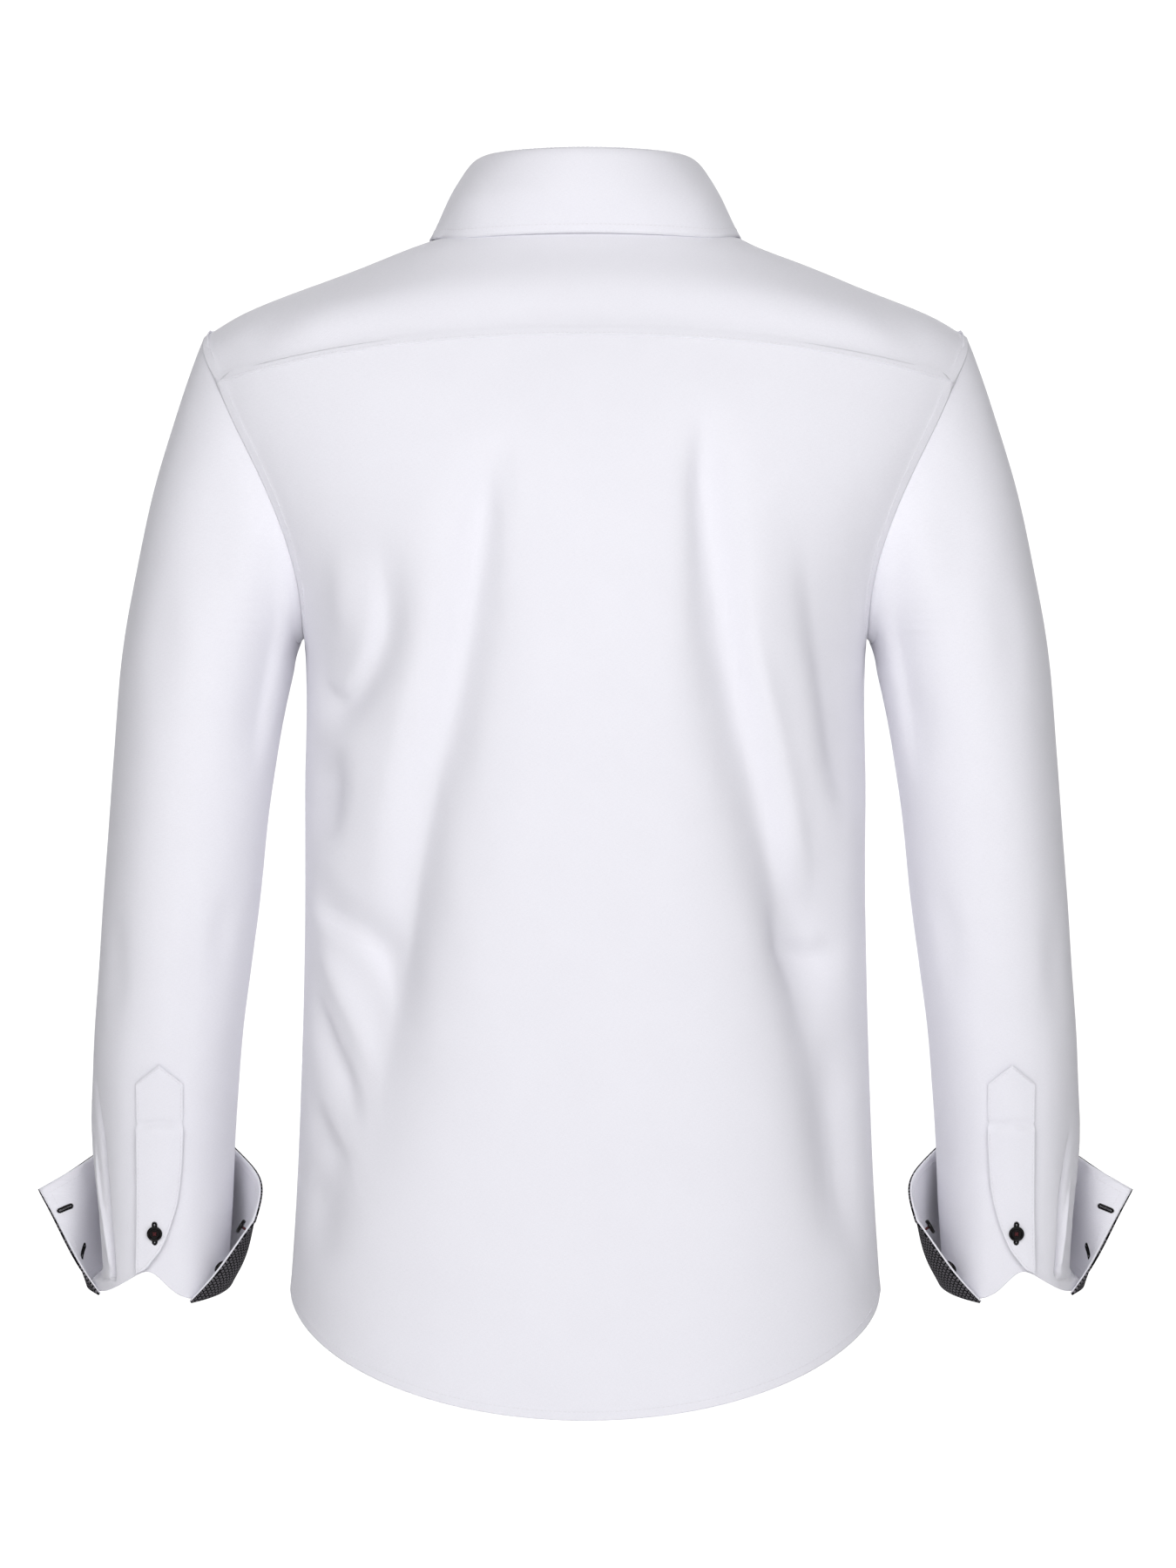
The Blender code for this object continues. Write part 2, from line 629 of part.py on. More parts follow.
# --- sleeves, their plackets and the turned-up cuffs ---


def build_sleeve(name, mirror, material):
    """The outer points are kept: the placket and the cuff are made from the sleeve's own surface."""
    angles = np.concatenate([back_angles[::-1], yoke_angles[1:], front_angles[1:-1]])
    turn, share = np.meshgrid(angles, np.linspace(0, 1, CAP_ROWS + 1))
    cap = sleeve_cap(turn, share)
    turn, share = np.meshgrid(angles, np.linspace(0, 1, TUBE_ROWS + 1)[1:])
    outer = np.concatenate([cap, sleeve_tube(turn, share)])
    turn = np.concatenate([np.tile(angles, (CAP_ROWS + 1, 1)), turn + SLEEVE_TWIST * share])
    normals = grid_normals(outer, True)
    outer = outer + sleeve_folds(outer, turn)[..., None] * normals
    inner = outer - WALL * grid_normals(outer, True)
    edge_at_armhole(outer, inner, 0, slice(None), angles, 1)
    flip = np.array([mirror, 1, 1])
    add_wall(name, outer * flip, inner * flip, material, closed=True)
    return outer


# Placket: its two long edges by height, on the back of the sleeve, and the tower's point
PLACKET_COLUMNS = ("z", "outer_x", "inner_x")
PLACKET = (
    (-0.5230, 0.2762, 0.2478),
    (-0.5535, 0.2762, 0.2484),
    (-0.5897, 0.2765, 0.2506),
    (-0.6089, 0.2770, 0.2557),
    (-0.6264, 0.2775, 0.2622),
    (-0.6318, 0.2778, 0.2668),
    (-0.6390, 0.2778, 0.2718),
)
PLACKET_END_SLANT = 0.0030
TOWER_POINT = 0.0117
PLACKET_COLUMNS_ACROSS = 5


def sleeve_behind(x, z):
    """The left sleeve's point at a place seen from behind."""
    share = np.clip((z - SLEEVE[0][0]) / (SLEEVE_FOOT_Z - SLEEVE[0][0]), 0, 1)
    level = SLEEVE[0][0] + (SLEEVE_FOOT_Z - SLEEVE[0][0]) * share
    centre_x = read_table(SLEEVE_COLUMNS, SLEEVE, "centre_x", level)
    half_width = read_table(SLEEVE_COLUMNS, SLEEVE, "half_width", level)
    points = sleeve_ring(np.arccos(np.clip((x - centre_x) / half_width, -0.99, 0.99)), level)
    points[..., 2] = z
    return points


def off_sleeve(x, z, lift):
    """A place on the back of the left sleeve, moved out, and the way out."""
    step = 0.0005
    point = sleeve_behind(x, z)
    out = unit(np.cross(sleeve_behind(x, z + step) - point, sleeve_behind(x + step, z) - point))
    return point + lift * out, out


def placket_sheet(lift):
    z = column(PLACKET_COLUMNS, PLACKET, "z")
    outer_x = column(PLACKET_COLUMNS, PLACKET, "outer_x")
    inner_x = column(PLACKET_COLUMNS, PLACKET, "inner_x")
    across = np.linspace(0, 1, PLACKET_COLUMNS_ACROSS)
    x = outer_x[:, None] + (inner_x - outer_x)[:, None] * across
    z = np.repeat(z[:, None], len(across), 1)
    z[0] += TOWER_POINT * (1 - np.abs(2 * across - 1))
    z[-1] -= PLACKET_END_SLANT * (1 - across)
    return off_sleeve(x, z, lift)[0]


def build_placket(name, mirror, material):
    flip = np.array([mirror, 1, 1])
    add_wall(name, placket_sheet(LIFT + CUFF_WALL) * flip, placket_sheet(LIFT) * flip, material)


# Cuff, unbuttoned and turned up round the front of the sleeve, from its buttonhole end to its button end
CUFF_HEIGHT_ROWS = 4
CUFF_TOP_COLUMNS = ("share", "x", "y", "z")
CUFF_TOP = (
    (0.000, 0.3443, -0.0500, -0.5938),
    (0.154, 0.3130, -0.0630, -0.5763),
    (0.269, 0.3000, -0.1110, -0.5690),
    (0.363, 0.2700, -0.1290, -0.5655),
    (0.440, 0.2480, -0.1200, -0.5650),
    (0.545, 0.2320, -0.0930, -0.5660),
    (0.697, 0.2212, -0.0600, -0.5710),
    (0.769, 0.2104, -0.0380, -0.5784),
    (0.822, 0.2044, -0.0220, -0.5838),
    (0.880, 0.2023, -0.0100, -0.5905),
    (1.000, 0.2058, 0.0080, -0.6084),
)
# How far the cuff's wall bows out low down, from end to end: its two ends are nearly straight
CUFF_BELLY = ((0.0, 0.003), (0.14, 0.002), (0.28, 0.007), (0.70, 0.010), (0.87, 0.011), (1.0, 0.003))


def cuff_sheet(foot, lift):
    """The left cuff's points, from the sleeve's foot up, moved out of the funnel by lift."""
    share = np.linspace(0, 1, len(foot))
    knots = column(CUFF_TOP_COLUMNS, CUFF_TOP, "share")
    top = [smooth_through(knots, column(CUFF_TOP_COLUMNS, CUFF_TOP, axis), share) for axis in "xyz"]
    top = np.stack(top, -1)
    belly = np.interp(share, *np.transpose(CUFF_BELLY))[:, None]
    up = np.linspace(0, 1, CUFF_HEIGHT_ROWS + 1)[:, None, None]
    sheet = foot + (top - foot) * up
    out = -grid_normals(sheet, False)
    middle = sheet.mean((0, 1))
    out *= np.sign(((sheet - middle) * out).sum(-1).mean())
    return sheet + (belly * np.sin(np.pi * up) * (1 - up) + lift) * out, out


def cuff_foot(sleeve):
    """The sleeve's last ring of points, from the slit's outer corner round the front to its inner corner."""
    ring = sleeve[-1]
    first = BACK_STEPS + 1
    order = np.arange(first, first + len(ring) - SLIT_COLUMNS - 1) % len(ring)
    return ring[order]


def build_cuff(side, mirror, sleeve, white, printed):
    flip = np.array([mirror, 1, 1])
    foot = cuff_foot(sleeve)
    edges = [GAP, GAP + CUFF_WALL, 2 * GAP + CUFF_WALL, 2 * GAP + 2 * CUFF_WALL]
    sheets = [cuff_sheet(foot, lift)[0] * flip for lift in edges]
    add_wall("cuff_" + side, sheets[1], sheets[0], white, split=True)
    add_wall("cuff_facing_" + side, sheets[3], sheets[2], printed, split=True)


# --- collar ---

# The leaf's crest and its lower edge, from the centre of the back to one end at the front
LEAF_COLUMNS = ("share", "crest_x", "crest_y", "crest_z", "edge_x", "edge_y", "edge_z")
LEAF = (
    (0.00, 0.0000, 0.0580, 0.0496, 0.0000, 0.0690, -0.0042),
    (0.25, 0.0470, 0.0385, 0.0496, 0.0610, 0.0582, -0.0050),
    (0.36, 0.0605, 0.0195, 0.0496, 0.0846, 0.0475, -0.0056),
    (0.43, 0.0672, 0.0045, 0.0488, 0.0940, 0.0330, -0.0050),
    (0.50, 0.0700, -0.0090, 0.0462, 0.0965, 0.0110, -0.0020),
    (0.70, 0.0600, -0.0440, 0.0120, 0.0930, -0.0400, -0.0150),
    (0.85, 0.0370, -0.0720, -0.0210, 0.0760, -0.0740, -0.0480),
    (1.00, 0.0015, -0.0865, -0.0400, 0.0480, -0.1040, -0.1020),
)
LEAF_STEPS = 12  # to each side
# Across the leaf, from the crest: how far out and up its outer and its inner points lie, up to its shoulder
FOLD_COLUMNS_ACROSS = ("outer_out", "outer_up", "inner_out", "inner_up")
FOLD_ACROSS = (
    (-0.0050, -0.0010, -0.0050, -0.0030),
    (0.0000, 0.0000, -0.0005, -0.0021),
    (0.0045, -0.0030, 0.0026, -0.0042),
)
FALL_ROWS = 3  # of the leaf, from its shoulder down to its edge
FALL_BELLY = 0.002
LEAF_CLEARANCE = 0.0010  # over the shoulders
STAND_OUT = -0.0030  # the stand's outer face, from the leaf's crest
STAND_TOP = -0.0042
STAND_ROWS = 3
STAND_END_DROP = 0.0030  # of the stand's ends, past the centre of the front
STAND_TUCK = 1.1 * (COLLAR_WALL + GAP)  # of its right end, under its left one
STAND_TUCK_ANGLE = 2.35
STAND_TUCK_DROP = 0.0007


def outward(line):
    """Level directions away from the neck's centre, square to a line round it."""
    along = np.gradient(line, axis=0)
    out = np.stack([along[:, 1], -along[:, 0], 0 * along[:, 0]], -1)
    from_centre = line - np.array([0, NECK_CENTRE_Y, 0])
    return unit(out) * np.sign((out * from_centre).sum(-1).mean())


def leaf_line(part, shares):
    """The crest or the edge at each share: below 0 on the wearer's right, above 0 on the left."""
    knots = column(LEAF_COLUMNS, LEAF, "share")
    knots = np.concatenate([-knots[:0:-1], knots])
    axes = []
    for axis, sign in (("_x", -1), ("_y", 1), ("_z", 1)):
        values = column(LEAF_COLUMNS, LEAF, part + axis)
        axes.append(smooth_through(knots, np.concatenate([sign * values[:0:-1], values]), shares))
    return np.stack(axes, -1)


def build_leaf(material):
    shares = np.linspace(-1, 1, 2 * LEAF_STEPS + 1)
    crest, edge = leaf_line("crest", shares), leaf_line("edge", shares)
    out, up = outward(crest), np.array([0, 0, 1.0])
    rows = []
    for row in FOLD_ACROSS:
        fold = dict(zip(FOLD_COLUMNS_ACROSS, row))
        sides = [crest + fold[side + "_out"] * out + fold[side + "_up"] * up for side in ("outer", "inner")]
        rows.append(sides)
    shoulder = rows[-1][0]
    falls = [shoulder + (edge - shoulder) * step / FALL_ROWS for step in range(FALL_ROWS + 1)]
    fall = np.stack(falls)
    away = grid_normals(fall, False)
    away *= np.sign((away * out).sum(-1).mean())
    bow = FALL_BELLY * np.sin(np.linspace(0, np.pi, FALL_ROWS + 1))[:, None, None]
    fall = fall + bow * away
    under = fall - COLLAR_WALL * away
    sunk = on_top(under[..., 0], under[..., 1])[..., 2] + LEAF_CLEARANCE - under[..., 2]
    lift = np.clip(sunk, 0, None)[..., None] * up
    outer = np.stack([row[0] for row in rows[:-1]] + list(fall + lift))
    inner = np.stack([row[1] for row in rows] + list((under + lift)[1:]))
    add_wall("collar_leaf", outer, inner, material)


def build_stand(material):
    """Closed at the front, its left end over its right one."""
    overlap = math.pi - neck_band_angle
    yoke_part = np.linspace(0, neck_front_angle, NECK_STEPS + 1)
    front_part = np.linspace(neck_front_angle, neck_band_angle, FRONT_NECK_STEPS + 1)[1:]
    left = np.concatenate([yoke_part, front_part, [math.pi, math.pi + overlap]])
    angles = np.concatenate([-left[:0:-1], left])
    foot, _ = dressed(neckline(angles))
    for i in np.flatnonzero(np.abs(angles) == math.pi):
        foot[i] = (foot[i - 1] + foot[i + 1]) / 2
    past = np.abs(angles) > math.pi
    shares = np.where(past, -np.sign(angles) * neck_band_angle, angles) / math.pi
    crest = leaf_line("crest", shares)
    out, up = outward(foot), np.array([0, 0, 1.0])
    drop = np.where(past, STAND_END_DROP, np.where(np.abs(shares) == 1, STAND_END_DROP / 3, 0))[:, None]
    tuck = np.where(angles < 0, smooth_step(STAND_TUCK_ANGLE, neck_band_angle, -angles), 0)[:, None]
    tuck_in = -tuck * STAND_TUCK * out
    foot = foot + (GAP - STAND_TUCK_DROP * tuck) * up + tuck_in
    top = crest + STAND_OUT * out + (STAND_TOP - drop) * up + tuck_in
    rise = np.linspace(0, 1, STAND_ROWS + 1)[:, None, None]
    outer = foot + (top - foot) * rise
    add_wall("collar_stand", outer, outer - COLLAR_WALL * out, material)
    return outer


# --- buttons ---

BUTTON_RADIUS = 0.0048
BUTTON_SIDES = 12
# Half a button's section: how far out as a share of its radius, and its height
BUTTON_COLUMNS = ("out", "height")
BUTTON_SECTION = (
    (0.0, 0.0),
    (0.85, 0.0),
    (1.0, 0.0008),
    (1.0, 0.0018),
    (0.85, 0.0023),
    (0.68, 0.0017),
    (0.0, 0.0016),
)
FRONT_BUTTONS = 6
FRONT_BUTTON_TOP = -0.125
FRONT_BUTTON_STEP = 0.088
COLLAR_BUTTON_HEIGHT = 0.45  # share of the stand's height
GAUNTLET_BUTTON = (0.2663, -0.6163)  # x and z
CUFF_BUTTONS_UP = (0.33, 0.76)  # shares of the cuff's height
CUFF_BUTTON_INSET = 0.010
CUFF_BUTTON_LIFT = 0.0021


def build_button(name, place, facing, material):
    """A turned disc, dished inside its rim, lying on a place and facing away from it."""
    shape = bmesh.new()
    rings = []
    outs, heights = (column(BUTTON_COLUMNS, BUTTON_SECTION, name).tolist() for name in BUTTON_COLUMNS)
    for out, height in zip(outs, heights):
        if out == 0:
            rings.append([shape.verts.new((0, 0, height))])
            continue
        turns = [2 * math.pi * i / BUTTON_SIDES for i in range(BUTTON_SIDES)]
        reach = out * BUTTON_RADIUS
        rings.append([shape.verts.new((reach * math.cos(a), reach * math.sin(a), height)) for a in turns])
    for low, high in zip(rings, rings[1:]):
        for i in range(BUTTON_SIDES):
            j = (i + 1) % BUTTON_SIDES
            corners = [low[i % len(low)], low[j % len(low)], high[j % len(high)], high[i % len(high)]]
            shape.faces.new(list(dict.fromkeys(corners)))
    button = add_object(name, shape, material)
    facing = unit(np.array(facing, float))
    side = unit(np.cross((0, 1, 0) if abs(facing[2]) > 0.7 else (0, 0, 1), facing))
    turn = np.stack([side, np.cross(facing, side), facing], 1)
    for vertex in button.data.vertices:
        vertex.co = (np.array(place) + turn @ np.array(vertex.co)).tolist()
    return button


def build_buttons(fronts, stand, sleeves, material):
    band, out = (grid[:, :2].mean(1) for grid in fronts["front_left"])
    for i in range(FRONT_BUTTONS):
        z = FRONT_BUTTON_TOP - FRONT_BUTTON_STEP * i
        place, facing = (
            np.array([np.interp(z, band[:, 2], line[:, k]) for k in range(3)]) for line in (band, out)
        )
        build_button(f"button_front_{i + 1}", place + (GAP * 2 + CUFF_WALL) * facing, facing, material)
    foot, top = stand[0, -2], stand[-1, -2]
    place = foot + (top - foot) * COLLAR_BUTTON_HEIGHT + np.array([0, -GAP, 0])
    build_button("button_collar", place, (0, -1, 0), material)
    for side, mirror, sleeve in sleeves:
        flip = np.array([mirror, 1, 1])
        place, out = off_sleeve(*np.array(GAUNTLET_BUTTON), LIFT + CUFF_WALL + GAP)
        build_button("button_gauntlet_" + side, place * flip, out * flip, material)
        sheet, out = cuff_sheet(cuff_foot(sleeve), GAP)
        for i, share in enumerate(CUFF_BUTTONS_UP):
            row = share * CUFF_HEIGHT_ROWS
            low, part = int(row), row - int(row)
            last = sheet[low, -2:] * (1 - part) + sheet[low + 1, -2:] * part
            along = unit(last[0] - last[1])
            rise = (sheet[low + 1, -2:] - sheet[low, -2:]).mean(0)
            facing = unit(np.cross(along, rise))
            facing *= -np.sign(facing @ out[low, -1])
            place = last[1] + along * CUFF_BUTTON_INSET + CUFF_BUTTON_LIFT * facing
            build_button(f"button_cuff_{side}_{i + 1}", place * flip, facing * flip, material)


def build_shirt():
    white = plain_material("white_cloth", (0.86, 0.85, 0.90), 0.85)
    printed = plain_material("printed_facing", (0.09, 0.09, 0.12), 0.8)
    black = plain_material("black_buttons", (0.012, 0.011, 0.012), 0.3)
    build_back(white)
    build_yoke(white)
    fronts = build_fronts(white)
    build_band(fronts, white)
    stand = build_stand(white)
    build_leaf(white)
    sleeves = []
    for side, mirror in (("left", 1), ("right", -1)):
        sleeve = build_sleeve("sleeve_" + side, mirror, white)
        build_placket("sleeve_placket_" + side, mirror, white)
        build_cuff(side, mirror, sleeve, white, printed)
        sleeves.append((side, mirror, sleeve))
    build_buttons(fronts, stand, sleeves, black)


for old in list(bpy.data.objects):
    bpy.data.objects.remove(old, do_unlink=True)
build_shirt()
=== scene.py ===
# A white button-up shirt: the finished cloth, thread and buttons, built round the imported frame.
import math

import bmesh
import bpy
import numpy as np
from mathutils import Matrix, Vector, noise
from mathutils.bvhtree import BVHTree
from mathutils.kdtree import KDTree


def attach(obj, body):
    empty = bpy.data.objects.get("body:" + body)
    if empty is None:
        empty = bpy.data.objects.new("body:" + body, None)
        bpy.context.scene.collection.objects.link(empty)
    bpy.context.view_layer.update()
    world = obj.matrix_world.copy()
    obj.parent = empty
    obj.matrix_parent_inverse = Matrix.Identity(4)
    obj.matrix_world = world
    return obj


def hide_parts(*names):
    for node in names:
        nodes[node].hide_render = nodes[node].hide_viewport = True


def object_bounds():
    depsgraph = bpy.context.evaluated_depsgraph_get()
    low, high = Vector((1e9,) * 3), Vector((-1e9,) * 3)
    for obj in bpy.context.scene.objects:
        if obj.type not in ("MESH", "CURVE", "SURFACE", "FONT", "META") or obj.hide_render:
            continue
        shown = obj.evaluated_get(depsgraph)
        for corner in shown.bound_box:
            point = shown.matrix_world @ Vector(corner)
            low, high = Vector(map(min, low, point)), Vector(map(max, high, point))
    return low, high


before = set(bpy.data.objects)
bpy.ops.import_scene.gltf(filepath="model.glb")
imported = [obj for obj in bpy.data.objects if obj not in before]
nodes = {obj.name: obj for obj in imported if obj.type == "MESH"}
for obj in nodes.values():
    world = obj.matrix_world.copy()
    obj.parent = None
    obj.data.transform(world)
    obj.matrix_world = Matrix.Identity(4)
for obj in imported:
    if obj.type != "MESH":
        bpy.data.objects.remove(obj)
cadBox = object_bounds()
print("frame loaded:", len(nodes), "nodes")


# Shader helpers

class Wire:
    # One socket of a node tree, so that maths on it reads as an expression
    def __init__(self, tree, socket=None):
        self.tree = tree
        self.socket = socket

    def node(self, kind, settings=None, sockets=None, output=0):
        made = self.tree.nodes.new(kind)
        for name, value in (settings or {}).items():
            if name == "stops":
                for stop, (place, grey) in zip(made.color_ramp.elements, value):
                    stop.position = place
                    stop.color = (grey, grey, grey, 1)
            else:
                setattr(made, name, value)
        for name, value in (sockets or {}).items():
            if isinstance(value, Wire):
                self.tree.links.new(value.socket, made.inputs[name])
            else:
                made.inputs[name].default_value = value
        return Wire(self.tree, made.outputs[output])

    def maths(self, operation, first, second=0.0, third=0.0):
        return self.node("ShaderNodeMath", {"operation": operation}, {0: first, 1: second, 2: third})

    def __add__(self, other):
        return self.maths("ADD", self, other)

    def __radd__(self, other):
        return self.maths("ADD", other, self)

    def __sub__(self, other):
        return self.maths("SUBTRACT", self, other)

    def __mul__(self, other):
        return self.maths("MULTIPLY", self, other)

    def __rmul__(self, other):
        return self.maths("MULTIPLY", other, self)

    def __truediv__(self, other):
        return self.maths("DIVIDE", self, other)


def newMaterial(name, settings):
    # A Principled material with its constant sockets set, and the wire that its nodes start from
    material = bpy.data.materials.new(name)
    material.use_nodes = True
    tree = material.node_tree
    surface = tree.nodes["Principled BSDF"]
    for socket, value in settings.items():
        surface.inputs[socket].default_value = value
    return material, Wire(tree), surface


def link(wire, surface, socket):
    wire.tree.links.new(wire.socket, surface.inputs[socket])


def clothUv(start, scale=1000.0):
    # The cloth's own warp and weft, in millimetres
    uv = start.node("ShaderNodeUVMap", {"uv_map": "cut"})
    parts = start.tree.nodes.new("ShaderNodeSeparateXYZ")
    start.tree.links.new(uv.socket, parts.inputs[0])
    return uv, Wire(start.tree, parts.outputs[0]) * scale, Wire(start.tree, parts.outputs[1]) * scale


def mixColour(start, factor, first, second):
    return start.node(
        "ShaderNodeMix", {"data_type": "RGBA"}, {"Factor": factor, 6: first, 7: second}, output=2
    )


poplin = {
    "colour": (0.815, 0.808, 0.862, 1),
    "shadeColour": (0.765, 0.758, 0.812, 1),
    "warpPitch": 0.26,  # millimetres between threads
    "weftPitch": 0.36,
    "warpStretch": (900, 120, 1),  # thicker and thinner threads, drawn out along the warp
    "weftStretch": (110, 700, 1),
    "cloudSize": 26.0,
    "cloud": 0.12,  # the share of broad shade in the colour
    "shadeRange": (0.35, 0.68),
    "weaveDepth": 0.00003,
    "slubDepth": 0.00006,
    "roughness": 0.78,
    "roughnessRange": 0.18,
}


def noiseWire(start, sockets, flat=True):
    return start.node("ShaderNodeTexNoise", {"noise_dimensions": "2D" if flat else "3D"}, sockets)


def mapped(start, value, low, high):
    return start.node("ShaderNodeMapRange", None, {"Value": value, "From Min": low, "From Max": high})


def poplinMaterial(name, look):
    material, start, surface = newMaterial(name, {
        "Sheen Weight": 0.12,
        "Sheen Roughness": 0.45,
        "Specular IOR Level": 0.28,
        "Roughness": look["roughness"],
    })
    uv, warp, weft = clothUv(start)
    across = start.maths("SINE", warp * (math.pi / look["warpPitch"]))
    along = start.maths("SINE", weft * (math.pi / look["weftPitch"]))
    weave = across * along
    stretched = start.node("ShaderNodeMapping", None, {"Vector": uv, "Scale": look["warpStretch"]})
    slub = noiseWire(start, {"Vector": stretched, "Detail": 3.0})
    crossed = start.node("ShaderNodeMapping", None, {"Vector": uv, "Scale": look["weftStretch"]})
    pick = noiseWire(start, {"Vector": crossed, "Detail": 3.0})
    threads = slub * 0.5 + pick * 0.5
    cloudy = noiseWire(start, {"Vector": uv, "Scale": look["cloudSize"]})
    shade = mapped(start, cloudy * look["cloud"] + threads * (1 - look["cloud"]), *look["shadeRange"])
    link(mixColour(start, shade, look["colour"], look["shadeColour"]), surface, "Base Color")
    spread = look["roughnessRange"]
    link(threads * spread + (look["roughness"] - spread / 2), surface, "Roughness")
    height = weave * look["weaveDepth"] + threads * look["slubDepth"]
    bump = start.node("ShaderNodeBump", None, {"Height": height, "Strength": 1.0, "Distance": 1.0})
    link(bump, surface, "Normal")
    return material


thread = {
    "white": (0.86, 0.85, 0.90, 1),
    "dark": (0.008, 0.007, 0.008, 1),
    "shank": (0.11, 0.030, 0.034, 1),
    "roughness": 0.55,
    "twist": 1400.0,  # plies to a metre
    "furrow": 0.72,  # painted shade between them: the share of the colour left there
}


def threadMaterial(name, colour):
    material, start, surface = newMaterial(name, {
        "Roughness": thread["roughness"], "Specular IOR Level": 0.1,
    })
    place = start.node("ShaderNodeTexCoord", output=3)
    twist = noiseWire(start, {"Vector": place, "Scale": thread["twist"], "Detail": 2.0}, flat=False)
    # The twist's noise darkens the colour towards this: painted shade between the plies
    furrowShadeColour = tuple(thread["furrow"] * c for c in colour[:3]) + (1,)
    link(mixColour(start, twist, colour, furrowShadeColour), surface, "Base Color")
    bump = start.node("ShaderNodeBump", None, {"Height": twist, "Strength": 0.5, "Distance": 0.0002})
    link(bump, surface, "Normal")
    return material


# The cuff's facing: a small woven figure in offset rows, light on a dark ground, charted
facingPrint = {
    "ground": (0.006, 0.0055, 0.007, 1),
    "figure": (0.21, 0.20, 0.22, 1),
    "acrossPitch": 2.3,  # millimetres from figure to figure
    "rowPitch": 1.9,
    "ring": 0.30,
    "ringWidth": 0.10,
    "squash": 0.8,
    "dot": (0.12, 0.07),  # faint from here in, and full from here
    "wearSize": 900.0,
    "wear": (0.55, 0.7),  # how light the figure is at its most worn, and how much lighter it gets
    "weave": (12.0, 9.0),
    "weaveDepth": 0.00003,
    "figureDepth": 0.00005,
}


def facingMaterial(name, look):
    material, start, surface = newMaterial(name, {"Roughness": 0.85, "Specular IOR Level": 0.08})
    uv, across, along = clothUv(start)
    row = start.maths("FLOOR", along / look["rowPitch"])
    oddRow = start.maths("FLOORED_MODULO", row, 2.0)
    x = start.maths("FRACT", across / look["acrossPitch"] + oddRow * 0.5) - 0.5
    y = start.maths("FRACT", along / look["rowPitch"]) - 0.5
    spread = start.maths("ABSOLUTE", x) + start.maths("ABSOLUTE", y) * look["squash"]
    ring = start.maths("ABSOLUTE", spread - look["ring"])
    rimMask = mapped(start, ring, look["ringWidth"], look["ringWidth"] * 0.5)
    mask = start.maths("MAXIMUM", rimMask, mapped(start, spread, *look["dot"]))
    worn = noiseWire(start, {"Vector": uv, "Scale": look["wearSize"]})
    least, more = look["wear"]
    figure = mask * (least + worn * more)
    link(mixColour(start, figure, look["ground"], look["figure"]), surface, "Base Color")
    weave = start.maths("SINE", across * look["weave"][0]) * start.maths("SINE", along * look["weave"][1])
    height = weave * look["weaveDepth"] + mask * look["figureDepth"]
    bump = start.node("ShaderNodeBump", None, {"Height": height, "Distance": 1.0})
    link(bump, surface, "Normal")
    return material


buttonFinish = {
    "dark": (0.0018, 0.0016, 0.0018, 1),
    "light": (0.008, 0.0065, 0.007, 1),
    "swirlSize": 420.0,
    "roughness": (0.14, 0.16),  # at its smoothest, and how much rougher it gets
}


def buttonMaterial(name, look):
    material, start, surface = newMaterial(name, {
        "Roughness": 0.2, "Coat Weight": 0.06, "Coat Roughness": 0.06, "Specular IOR Level": 0.12,
    })
    place = start.node("ShaderNodeTexCoord", output=3)
    swirl = noiseWire(start, {"Vector": place, "Scale": look["swirlSize"], "Detail": 4.0}, flat=False)
    link(mixColour(start, swirl, look["dark"], look["light"]), surface, "Base Color")
    smoothest, rougher = look["roughness"]
    link(swirl * rougher + smoothest, surface, "Roughness")
    bump = start.node("ShaderNodeBump", None, {"Height": swirl, "Strength": 0.15, "Distance": 0.0002})
    link(bump, surface, "Normal")
    return material


white = poplinMaterial("whitePoplin", poplin)
printed = facingMaterial("printedFacing", facingPrint)
whiteThread = threadMaterial("whiteThread", thread["white"])
darkThread = threadMaterial("darkThread", thread["dark"])
shankThread = threadMaterial("buttonThread", thread["shank"])
buttonBlack = buttonMaterial("blackButton", buttonFinish)
print("materials made")


# Cloth helpers

sheetTurn = math.radians(55)  # past this turn between two faces the cloth's wall ends in its rim
seamReach = 0.0025  # a cut edge this near another piece is sewn to it
cornerTurn = math.radians(38)  # a cut edge that turns by more than this has a sharp corner
foldReach = 2.6  # a fold has run out this many of its widths from its line


def wallCopy(name):
    # A node's closed wall, merged back into quads
    shape = bmesh.new()
    shape.from_mesh(nodes[name].data)
    bmesh.ops.remove_doubles(shape, verts=shape.verts, dist=1e-6)
    bmesh.ops.join_triangles(
        shape, faces=shape.faces, angle_face_threshold=math.pi, angle_shape_threshold=math.pi
    )
    return shape


def outerSheet(name, facing, turn=sheetTurn):
    # The outer side of a node's wall, spread from the face that lies furthest along facing
    shape = wallCopy(name)
    facing = Vector(facing).normalized()
    broad = 0.5 * sum(face.calc_area() for face in shape.faces) / len(shape.faces)
    looking = [face for face in shape.faces if face.normal.dot(facing) > 0.6 and face.calc_area() > broad]
    seed = max(looking, key=lambda face: face.calc_center_median().dot(facing))
    kept, waiting = {seed}, [seed]
    while waiting:
        for edge in waiting.pop().edges:
            if edge.is_manifold and edge.calc_face_angle() < turn:
                fresh = [face for face in edge.link_faces if face not in kept]
                kept.update(fresh)
                waiting += fresh
    bmesh.ops.delete(shape, geom=[face for face in shape.faces if face not in kept], context="FACES")
    return shape


